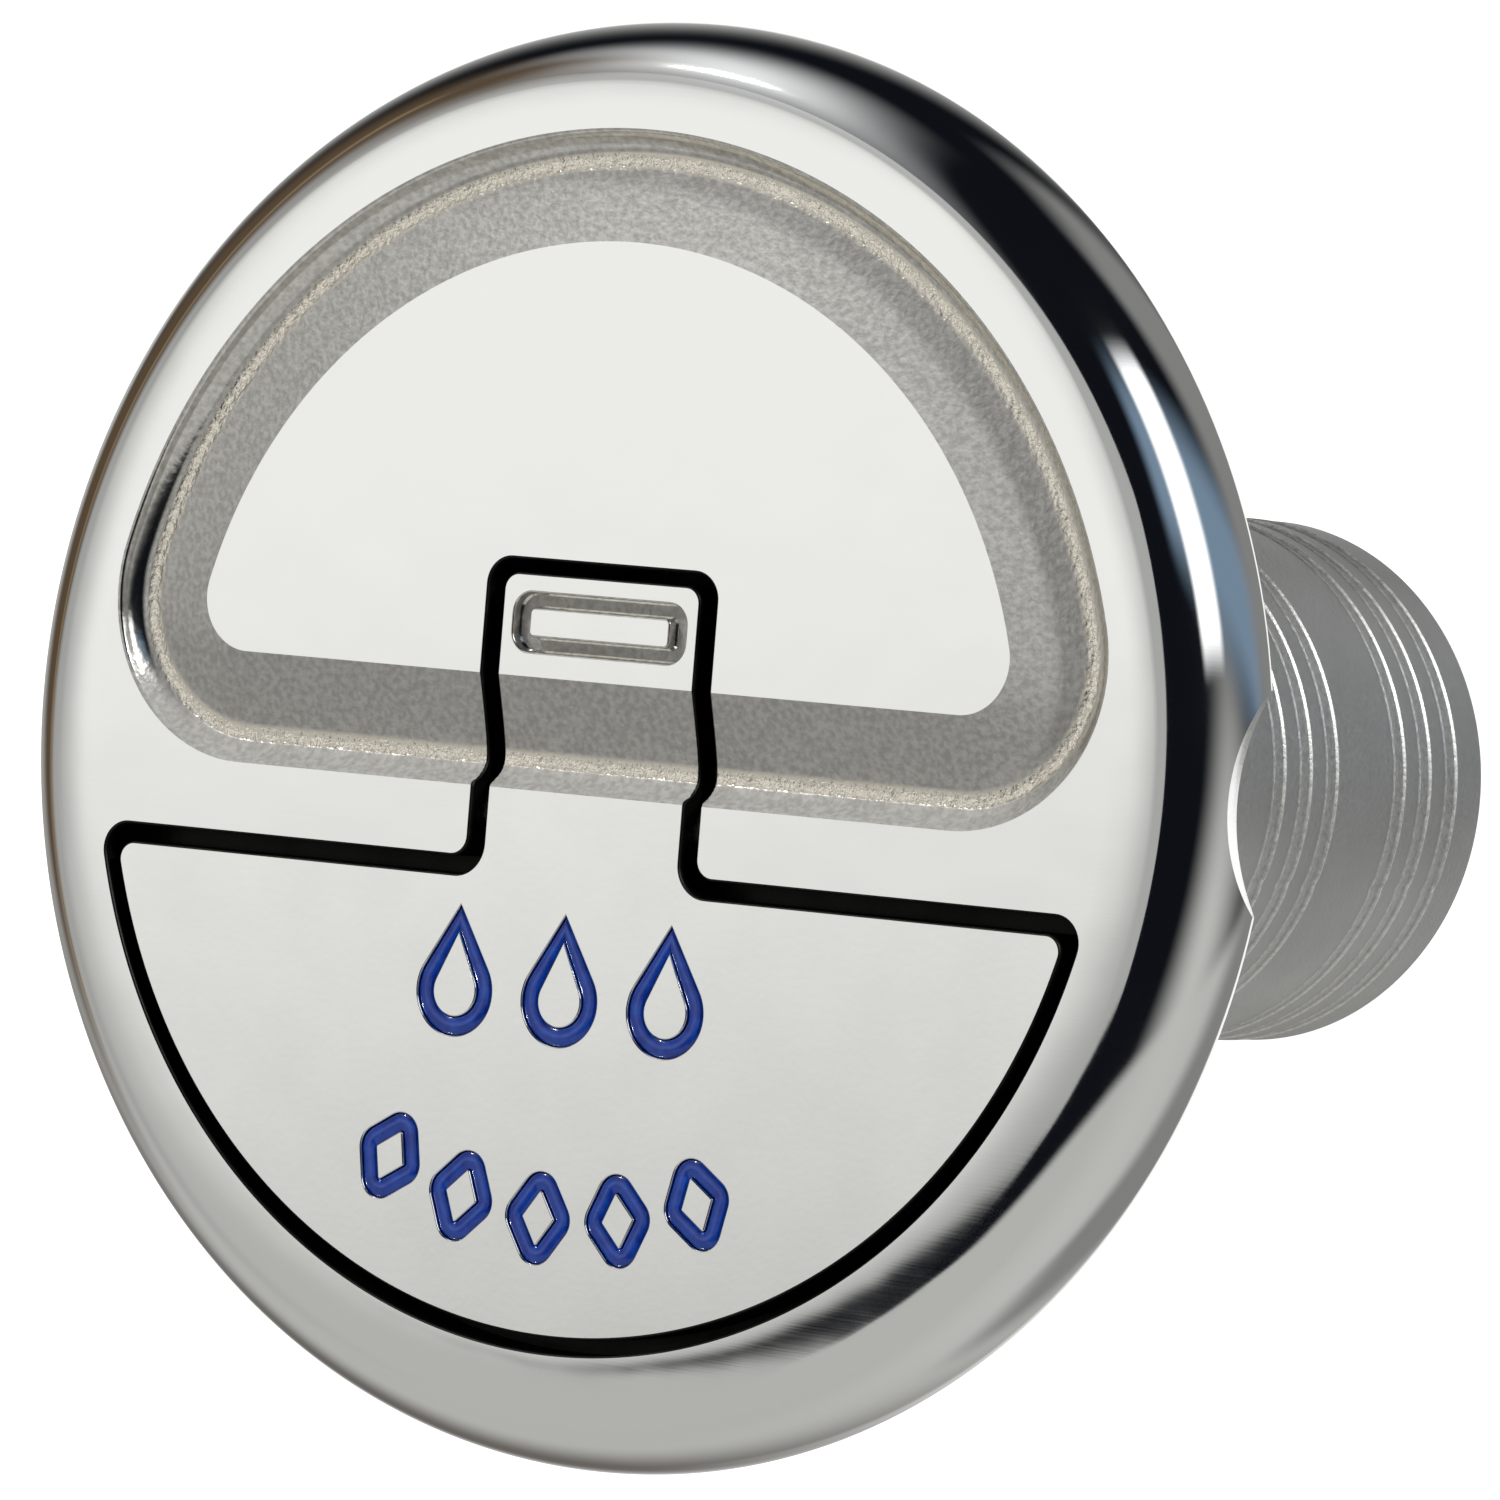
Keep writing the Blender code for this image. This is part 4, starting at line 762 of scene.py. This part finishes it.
def lofted(loops, closed_ring=False):
    """Extrude a closed loop of points through the following ones; ends are joined or filled flat."""
    bm = bmesh.new()
    verts = [bm.verts.new(point) for point in loops[0]]
    edges = [bm.edges.new(pair) for pair in zip(verts, verts[1:] + verts[:1])]
    for points in loops[1:] + (loops[:1] if closed_ring else []):
        made = bmesh.ops.extrude_edge_only(bm, edges=edges)["geom"]
        fresh = {item for item in made if isinstance(item, bmesh.types.BMVert)}
        verts = [next(edge.other_vert(vert) for edge in vert.link_edges if edge.other_vert(vert) in fresh)
                 for vert in verts]
        for vert, point in zip(verts, points):
            vert.co = point
        edges = [bm.edges.get(pair) for pair in zip(verts, verts[1:] + verts[:1])]
    if closed_ring:
        bmesh.ops.remove_doubles(bm, verts=bm.verts, dist=0.001 * MM)
    else:
        bmesh.ops.holes_fill(bm, edges=bm.edges, sides=0)
    return bm


def groove_tool():
    loops = [[(x, y, FACE_Z + height) for x, y in groove_outline(inset)]
             for inset, height in groove_section]
    first = [(x, y, z + ABOVE) for x, y, z in loops[0]]
    return new_object("groove tool", lofted([first, *loops], closed_ring=True), grain)


def opening_tool():
    """Handle's pocket with its slot; the opening's edge is rounded and follows the groove."""
    sizes = (POCKET_R, POCKET_EDGE_Y, POCKET_END_R, SLOT_HALF, SLOT_TIP_Y, SLOT_TIP_R, SLOT_ROOT_R)
    outline = half_moon(0.0, *sizes)
    drop = [groove_height(x, y) for x, y in outline]
    loops = [[(x, y, POCKET_FLOOR) for x, y in outline]]
    mouth = arc(OPENING_EDGE, -OPENING_EDGE, OPENING_EDGE, 180, 98, 6) + [(OPENING_EDGE + 0.06 * MM, ABOVE)]
    for grow, rise in mouth:
        loops.append([(x, y, FACE_Z + rise + d) for (x, y), d in zip(half_moon(grow, *sizes), drop)])
    loops.append([(x, y, FACE_Z + BEYOND) for x, y, z in loops[-1]])
    return new_object("opening tool", lofted(loops), milled)


def rounded_box(grow, half_x, half_y, radius, x, y):
    """Outline of a rectangle with round corners, moved outwards by grow."""
    half_x, half_y, radius = half_x + grow, half_y + grow, max(radius + grow, 0.02 * MM)
    right, top = x + half_x - radius, y + half_y - radius
    left, bottom = x - half_x + radius, y - half_y + radius
    return (arc(right, bottom, radius, -90, 0, 8) + arc(right, top, radius, 0, 90, 8)
            + arc(left, top, radius, 90, 180, 8) + arc(left, bottom, radius, 180, 270, 8))


dome_r, dome_z = CAP_R - DOME_WIDTH, FACE_Z - DOME_DROP
crown_r = GROOVE_R - 0.1 * MM
blend = CROWN_DROP * DOME_WIDTH / (dome_r - crown_r)
profile = [(crown_r, FACE_Z)]
for i in range(1, CROWN_STEPS):
    share = i / CROWN_STEPS
    profile.append((crown_r + (dome_r - crown_r) * share, FACE_Z - CROWN_DROP * share ** 2))
for across, up in arc(0.0, 0.0, 1.0, 90, 0, 32):
    profile.append((dome_r + DOME_WIDTH * across,
                    dome_z + (DOME_DROP - CROWN_DROP - blend) * up + blend * (1 - across) ** 2))
profile += arc(CAP_R - RIM_EDGE_R, dome_z, RIM_EDGE_R, 0, -90, 8)[1:]
profile += [
    (RIM_INNER_R, FACE_Z - RIM_HEIGHT), (RIM_INNER_R, PLATE_BOTTOM), (SKIRT_LAND_R, PLATE_BOTTOM),
    (SKIRT_LAND_R, O_RING_SEAT[1]), (O_RING_SEAT_R, O_RING_SEAT[1]),
    (O_RING_SEAT_R, O_RING_SEAT[0]), (SKIRT_LAND_R, O_RING_SEAT[0]),
    (SKIRT_LAND_R, SKIRT_LAND_Z), (SKIRT_CORE_R, SKIRT_LAND_Z), (SKIRT_CORE_R, SKIRT_END + SKIRT_CHAMFER),
    (SKIRT_CORE_R - SKIRT_CHAMFER, SKIRT_END), (DISC_SEAT_R, SKIRT_END),
    (DISC_SEAT_R, clip_low.z - FIT), (CLIP_SEAT_R, clip_low.z - FIT),
    (CLIP_SEAT_R, clip_high.z + FIT / 2), (DISC_SEAT_R, clip_high.z + FIT / 2),
    (DISC_SEAT_R, disc_high.z + FIT), (SKIRT_INNER_R, disc_high.z + FIT),
    (SKIRT_INNER_R, PLATE_BOTTOM),
]
bm = turned(profile, closed=False, steps=CAP_STEPS)
for face in bm.faces:
    middle = face.calc_center_median()
    buffed_face = middle.z > PLATE_BOTTOM or middle.xy.length > RIM_INNER_R + 0.5 * MM
    face.material_index = 0 if buffed_face else 1
cap = new_object("cap_casting", bm, mirror, lathe)
shaped(cap, thread_tools(SKIRT_CORE_R, THREAD_HEIGHT, MALE_TOP, MALE_BOTTOM, 0.0), "UNION")

well = rounded_box(-0.05 * MM, SLOT_HALF, (SLOT_TIP_Y - POCKET_EDGE_Y) / 2, SLOT_TIP_R, 0.0,
                   (SLOT_TIP_Y + POCKET_EDGE_Y) / 2)
well_loops = [[(x, y, z) for x, y in well] for z in (PLATE_BOTTOM - BEYOND, POCKET_FLOOR + ABOVE)]
well_tool = new_object("well tool", lofted(well_loops), milled)

pin_low, pin_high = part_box("hinge_pin")
PIN_Y, PIN_Z = (pin_low.y + pin_high.y) / 2, (pin_low.z + pin_high.z) / 2
PIN_PLAY = 0.25 * MM
PIN_BORE_R = (pin_high.z - pin_low.z) / 2 + PIN_PLAY


def bar_along_x(half_length, section):
    """Bar along X with a (y, z) section, for the hinge's seats and hub."""
    return lofted([[(x, y, z) for y, z in section] for x in (-half_length, half_length)])


seat = arc(PIN_Y, PIN_Z, PIN_BORE_R, 0, 180, 24)
seat += [(PIN_Y - PIN_BORE_R, PLATE_BOTTOM - BEYOND), (PIN_Y + PIN_BORE_R, PLATE_BOTTOM - BEYOND)]
seat_tool = new_object("pin seat tool", bar_along_x(pin_high.x + FIT, seat), lathe)

bm = bmesh.new()
scallop_place = (Matrix.Translation((SCALLOP_REACH, 0.0, FACE_Z - RIM_HEIGHT))
                 @ Matrix.Rotation(SCALLOP_LEAN, 4, "Y") @ Matrix.Translation((SCALLOP_R, 0.0, 0.0)))
bmesh.ops.create_cone(bm, cap_ends=True, segments=160, radius1=SCALLOP_R, radius2=SCALLOP_R,
                      depth=40 * MM, matrix=scallop_place)
scallop_tool = new_object("scallop tool", bm, mirror)

BUMPER_SEAT_R = 2.5 * MM
bumper_places = [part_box(f"handle_bumper_{i}") for i in (1, 2)]
bumper_centres = [((low.x + high.x) / 2, (low.y + high.y) / 2) for low, high in bumper_places]
KEEPER_HOLE_R = 1.3 * MM
keeper_boxes = [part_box(f"keeper_screw_{i}") for i in (1, 2, 3, 4)]
keeper_centres = [((low.x + high.x) / 2, (low.y + high.y) / 2) for low, high in keeper_boxes]
shaped(cap, [groove_tool(), opening_tool(), well_tool, seat_tool, scallop_tool,
             *hole_tools(BUMPER_SEAT_R, POCKET_FLOOR - 0.9 * MM, POCKET_FLOOR + 0.2 * MM, bumper_centres),
             *hole_tools(KEEPER_HOLE_R, PLATE_BOTTOM - BEYOND, keeper_boxes[0][1].z + FIT,
                         keeper_centres)])
finished(cap, "cap", ["cap_cover"])


# ---- Closing disc and circlip
# A turned steel disc shuts the skirt from below, so that water in the tongue's well stays out of the
# tank. A split spring ring holds it in a groove; pliers reach the ring by the holes in its ears.
CLIP_INNER_R = 16.4 * MM
CLIP_OUTER_R = 19.1 * MM
CLIP_HALF_GAP = 17.0
CLIP_EAR_HOLE_R = 0.75 * MM
CLIP_EAR_ANGLE = math.radians(22.0)
DISC_EDGE = 0.2 * MM
DISC_GROOVE_HALF = 0.7 * MM
DISC_GROOVE_R = 17.05 * MM

disc_mid = (disc_low.z + disc_high.z) / 2
profile = [(disc_high.x - DISC_EDGE, disc_high.z), (disc_high.x, disc_high.z - DISC_EDGE),
           (disc_high.x, disc_mid + DISC_GROOVE_HALF), (DISC_GROOVE_R, disc_mid + DISC_GROOVE_HALF),
           (DISC_GROOVE_R, disc_mid - DISC_GROOVE_HALF), (disc_high.x, disc_mid - DISC_GROOVE_HALF),
           (disc_high.x, disc_low.z + DISC_EDGE), (disc_high.x - DISC_EDGE, disc_low.z)]
finished(new_object("turned_closing_disc", turned(profile, closed=False), lathe), "cap",
         ["closing_disc"])

# Tempered spring steel: mid grey, with a faint straw bloom.
spring, tree, shader = new_material("tempered_spring_steel", {"Metallic": 1.0})
bloom = noise(tree, 4 * MM, 3.0)
link_all(tree, shader, {
    "Base Color": two_tones(tree, bloom, 0.35, "7C7A78", 0.7, "97928A"),
    "Roughness": spread(tree, bloom, 0.25, 0.45)})

outline = (arc(0, 0, CLIP_OUTER_R, 90 + CLIP_HALF_GAP, 450 - CLIP_HALF_GAP, 120)
           + arc(0, 0, CLIP_INNER_R, 450 - CLIP_HALF_GAP, 90 + CLIP_HALF_GAP, 120))
clip_loops = [[(x, y, z) for x, y in outline] for z in (clip_low.z, clip_high.z)]
clip = new_object("spring_clip_ring", lofted(clip_loops), spring)
ear_r = (CLIP_INNER_R + CLIP_OUTER_R) / 2
ears = [(side * ear_r * math.sin(CLIP_EAR_ANGLE), ear_r * math.cos(CLIP_EAR_ANGLE)) for side in (-1, 1)]
shaped(clip, hole_tools(CLIP_EAR_HOLE_R, clip_low.z - BEYOND, clip_high.z + BEYOND, ears))
finished(clip, "cap", ["circlip"])


# ---- Bumpers
# Two rubber buttons pressed into blind holes in the pocket's floor. The handle's plate rests on them.
BUMPER_DOME = 0.35 * MM
BUMPER_STEPS = 40
for i, (low, high) in enumerate(bumper_places):
    radius = (high.x - low.x) / 2
    profile = [(radius, low.z), *arc(radius - BUMPER_DOME, high.z - BUMPER_DOME, BUMPER_DOME, 0, 90, 6)]
    x, y = bumper_centres[i]
    bm = turned(profile, closed=False, steps=BUMPER_STEPS, x=x, y=y)
    finished(new_object(f"rubber_button_{i + 1}", bm, rubber), "cap", [f"handle_bumper_{i + 1}"])


# ---- Hinge pin, its keeper and the disc seal
# The ground pin rides in the cap's seats under a stamped spring keeper with four screws, and a rubber
# ring seals the closing disc. These hidden pieces keep the frame's shapes and get their real finish.
for node, finish in (("hinge_pin", lathe), ("spring_keeper", spring), ("disc_seal", rubber),
                     *((f"keeper_screw_{i}", lathe) for i in (1, 2, 3, 4))):
    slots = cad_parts[node].data.materials
    slots.clear()
    slots.append(finish)


# ---- Handle
# A half-moon plate cast in one piece with the tongue that tips it up. Its face is buffed a little
# less than the cap's, its underside is blasted, the D-shaped groove runs on across the tongue, and
# the thumb pad has a sunk frame with the cast grain left in it.
HANDLE_R = -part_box("handle")[0].y
HANDLE_EDGE_Y = -9.55 * MM
HANDLE_BOTTOM = FACE_Z - 3.6 * MM
HANDLE_END_R = 1.2 * MM
TONGUE_HALF = 8.0 * MM
TONGUE_TIP_Y = 11.1 * MM
TONGUE_TIP_R = 1.2 * MM
TONGUE_ROOT_R = 2.2 * MM
HANDLE_EDGE = 0.18 * MM
HUB_R = 2.6 * MM
HUB_INSET = 0.05 * MM
PAD_Y = 7.8 * MM
PAD_OUTER = (7.0 * MM, 2.0 * MM, 1.4 * MM)
PAD_INNER = (5.7 * MM, 1.0 * MM, 0.4 * MM)
PAD_DEPTH = 0.9 * MM
PAD_EDGE = 0.16 * MM
MARK_STROKE = 1.3 * MM
MARK_SINK = 0.5 * MM
MARK_EDGE = 0.1 * MM
MARK_CENTRE_X = -0.8 * MM
DROP_ROW_Y = -17.4 * MM
DROP_PITCH = 8.6 * MM
DROP_COUNT = 3
DROP_R = 2.4 * MM
DROP_TAIL = 4.9 * MM
LOZENGE_ROW_R = 32.0 * MM
LOZENGE_ROW_MID = math.radians(-92.0)
LOZENGE_ROW_STEP = math.radians(11.6)
LOZENGE_COUNT = 5
LOZENGE_HALF_X = 2.1 * MM
LOZENGE_HALF_Y = 3.1 * MM
LOZENGE_CORNER_R = 0.8 * MM

# Satin-buffed stainless: the same steel finished with a softer mop, so that its reflections are
# milky and a shade warmer.
satin, tree, shader = new_material("satin_buffed_stainless", {"Metallic": 1.0})
haze = noise(tree, 6 * MM, 5.0)
speck = noise(tree, 0.5 * MM, 2.0)
blend = maths(tree, "MULTIPLY_ADD", speck, 0.3, haze)
link_all(tree, shader, {
    "Base Color": two_tones(tree, haze, 0.3, "EEEEEB", 0.75, "F4F4F1"),
    "Roughness": spread(tree, blend, 0.07, 0.1, 0.4, 0.95),
    "Normal": bumps(tree, speck, 0.12, 0.01 * MM)})


def drop_outline(grow, x):
    """Water-drop outline round (x, DROP_ROW_Y), moved outwards by grow."""
    radius, tail = DROP_R + grow, DROP_TAIL + 1.4 * grow
    lean = math.degrees(math.acos(radius / tail))
    ends = arc(x, DROP_ROW_Y, radius, 90 + lean, 450 - lean, 48)
    return ends + line(ends[-1], (x, DROP_ROW_Y + tail), 3) + [(x, DROP_ROW_Y + tail)] + line(
        (x, DROP_ROW_Y + tail), ends[0], 3)


def lozenge_outline(grow, place):
    """Lozenge outline with round corners, moved outwards by grow."""
    slant = math.hypot(LOZENGE_HALF_X, LOZENGE_HALF_Y)
    half_x = LOZENGE_HALF_X + grow * slant / LOZENGE_HALF_Y
    half_y = LOZENGE_HALF_Y + grow * slant / LOZENGE_HALF_X
    radius = LOZENGE_CORNER_R + grow
    lean = math.atan2(LOZENGE_HALF_X, LOZENGE_HALF_Y)
    in_x, in_y = half_x - radius / math.cos(lean), half_y - radius / math.sin(lean)
    lean = math.degrees(lean)
    points = (arc(in_x, 0, radius, -lean, lean, 8) + arc(0, in_y, radius, lean, 180 - lean, 10)
              + arc(-in_x, 0, radius, 180 - lean, 180 + lean, 8)
              + arc(0, -in_y, radius, 180 + lean, 360 - lean, 10))
    return [(place @ Vector((px, py, 0.0))).xy for px, py in points]


def mark_outlines():
    """Name of each mark's frame node, and its outline as a function of grow."""
    for i in range(DROP_COUNT):
        x = MARK_CENTRE_X + (i - (DROP_COUNT - 1) / 2) * DROP_PITCH
        yield f"enamel_drop_{i + 1}", lambda grow, x=x: drop_outline(grow, x)
    for i in range(LOZENGE_COUNT):
        angle = LOZENGE_ROW_MID + (i - (LOZENGE_COUNT - 1) / 2) * LOZENGE_ROW_STEP
        place = (Matrix.Rotation(angle + math.pi / 2, 4, "Z")
                 @ Matrix.Translation((0.0, -LOZENGE_ROW_R, 0.0)))
        yield f"enamel_lozenge_{i + 1}", lambda grow, place=place: lozenge_outline(grow, place)


def channel_tool(outer, inner, depth, edge, material):
    """Ring-shaped channel between two outlines, each a function of grow, with rounded upper edges."""
    foot = min(depth * 0.3, 0.15 * MM)
    side = [(-foot, -depth), (0.0, foot - depth), *arc(edge, -edge, edge, 180, 98, 4), (edge, 0.3 * MM)]
    loops = [[(x, y, FACE_Z + rise) for x, y in outer(grow)] for grow, rise in side]
    loops += [[(x, y, FACE_Z + rise) for x, y in inner(-grow)] for grow, rise in reversed(side)]
    return new_object("channel tool", lofted(loops, closed_ring=True), material)


sizes = (HANDLE_R, HANDLE_EDGE_Y, HANDLE_END_R, TONGUE_HALF, TONGUE_TIP_Y, TONGUE_TIP_R, TONGUE_ROOT_R)
drop = [groove_height(x, y) for x, y in half_moon(0.0, *sizes)]
loops = [[(x, y, HANDLE_BOTTOM) for x, y in half_moon(-HANDLE_EDGE, *sizes)],
         [(x, y, HANDLE_BOTTOM + HANDLE_EDGE) for x, y in half_moon(0.0, *sizes)]]
shoulder = arc(-HANDLE_EDGE, -HANDLE_EDGE, HANDLE_EDGE, 0, 82, 6) + [(-HANDLE_EDGE - 0.05 * MM, ABOVE)]
for grow, rise in shoulder:
    loops.append([(x, y, FACE_Z + rise + d) for (x, y), d in zip(half_moon(grow, *sizes), drop)])
loops.append([(x, y, FACE_Z + BEYOND) for x, y, z in loops[-1]])
bm = lofted(loops)
for face in bm.faces:
    if max(vert.co.z for vert in face.verts) < HANDLE_BOTTOM + HANDLE_EDGE / 2:
        face.material_index = 1
handle = new_object("half_moon_handle", bm, milled, blasted)
hub = arc(PIN_Y, PIN_Z, HUB_R, 180, 360, 36)
hub += [(PIN_Y + HUB_R, HANDLE_BOTTOM + BEYOND), (PIN_Y - HUB_R, HANDLE_BOTTOM + BEYOND)]
shaped(handle, [new_object("hub tool", bar_along_x(TONGUE_HALF - HUB_INSET, hub), blasted)], "UNION")
bm = bmesh.new()
bmesh.ops.create_cube(bm, size=1.0, matrix=Matrix.Translation((0.0, 0.0, FACE_Z + 2 * MM))
                      @ Matrix.Diagonal((100 * MM, 100 * MM, 4 * MM, 1.0)))
face_tool = new_object("face tool", bm, satin)
bore = arc(PIN_Y, PIN_Z, PIN_BORE_R, 0, 350, 35)
bore_tool = new_object("bore tool", bar_along_x(TONGUE_HALF + 4 * MM, bore), lathe)
pad_tool = channel_tool(lambda grow: rounded_box(grow, *PAD_OUTER, 0.0, PAD_Y),
                        lambda grow: rounded_box(grow, *PAD_INNER, 0.0, PAD_Y), PAD_DEPTH, PAD_EDGE, grain)
mark_tools = [channel_tool(lambda grow: outline(grow + MARK_STROKE / 2),
                           lambda grow: outline(grow - MARK_STROKE / 2), MARK_SINK, MARK_EDGE, satin)
              for name, outline in mark_outlines()]
shaped(handle, [face_tool, bore_tool, groove_tool(), pad_tool, *mark_tools])
finished(handle, "handle", ["handle"])


# ---- Enamel
# Blue vitreous enamel filled into the engraved marks and fired. It shrinks as it cools, so that it
# lies a little below the steel, domed along each stroke and glossy.
ENAMEL_EDGE_Z = FACE_Z - 0.3 * MM
ENAMEL_TOP_Z = FACE_Z - 0.08 * MM
ENAMEL_FIT = 0.04 * MM

enamel, tree, shader = new_material("fired_blue_enamel", {
    "Roughness": 0.15, "Coat Weight": 0.3, "Coat Roughness": 0.05})
pool = noise(tree, 0.9 * MM, 3.0)
link_all(tree, shader, {
    "Base Color": two_tones(tree, pool, 0.3, "0B37A8", 0.7, "1A55CC"),
    "Normal": bumps(tree, pool, 0.35, 0.05 * MM)})

for name, outline in mark_outlines():
    half = MARK_STROKE / 2 - ENAMEL_FIT
    bottom = FACE_Z - MARK_SINK + ENAMEL_FIT
    loops = [[(x, y, bottom) for x, y in outline(0.6 * half)]]
    for across, up in arc(0.0, 0.0, 1.0, 0, 180, 10):
        z = ENAMEL_EDGE_Z + (ENAMEL_TOP_Z - ENAMEL_EDGE_Z) * up
        loops.append([(x, y, z) for x, y in outline(half * across)])
    loops.append([(x, y, bottom) for x, y in outline(-0.6 * half)])
    fill = new_object(name.replace("enamel", "enamel_fill"), lofted(loops, closed_ring=True), enamel)
    finished(fill, "handle", [name])


# ---- Size of the finished model beside the frame's
low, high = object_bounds()
{"cad": [list(cad_low), list(cad_high)], "visual": [list(low), list(high)]}
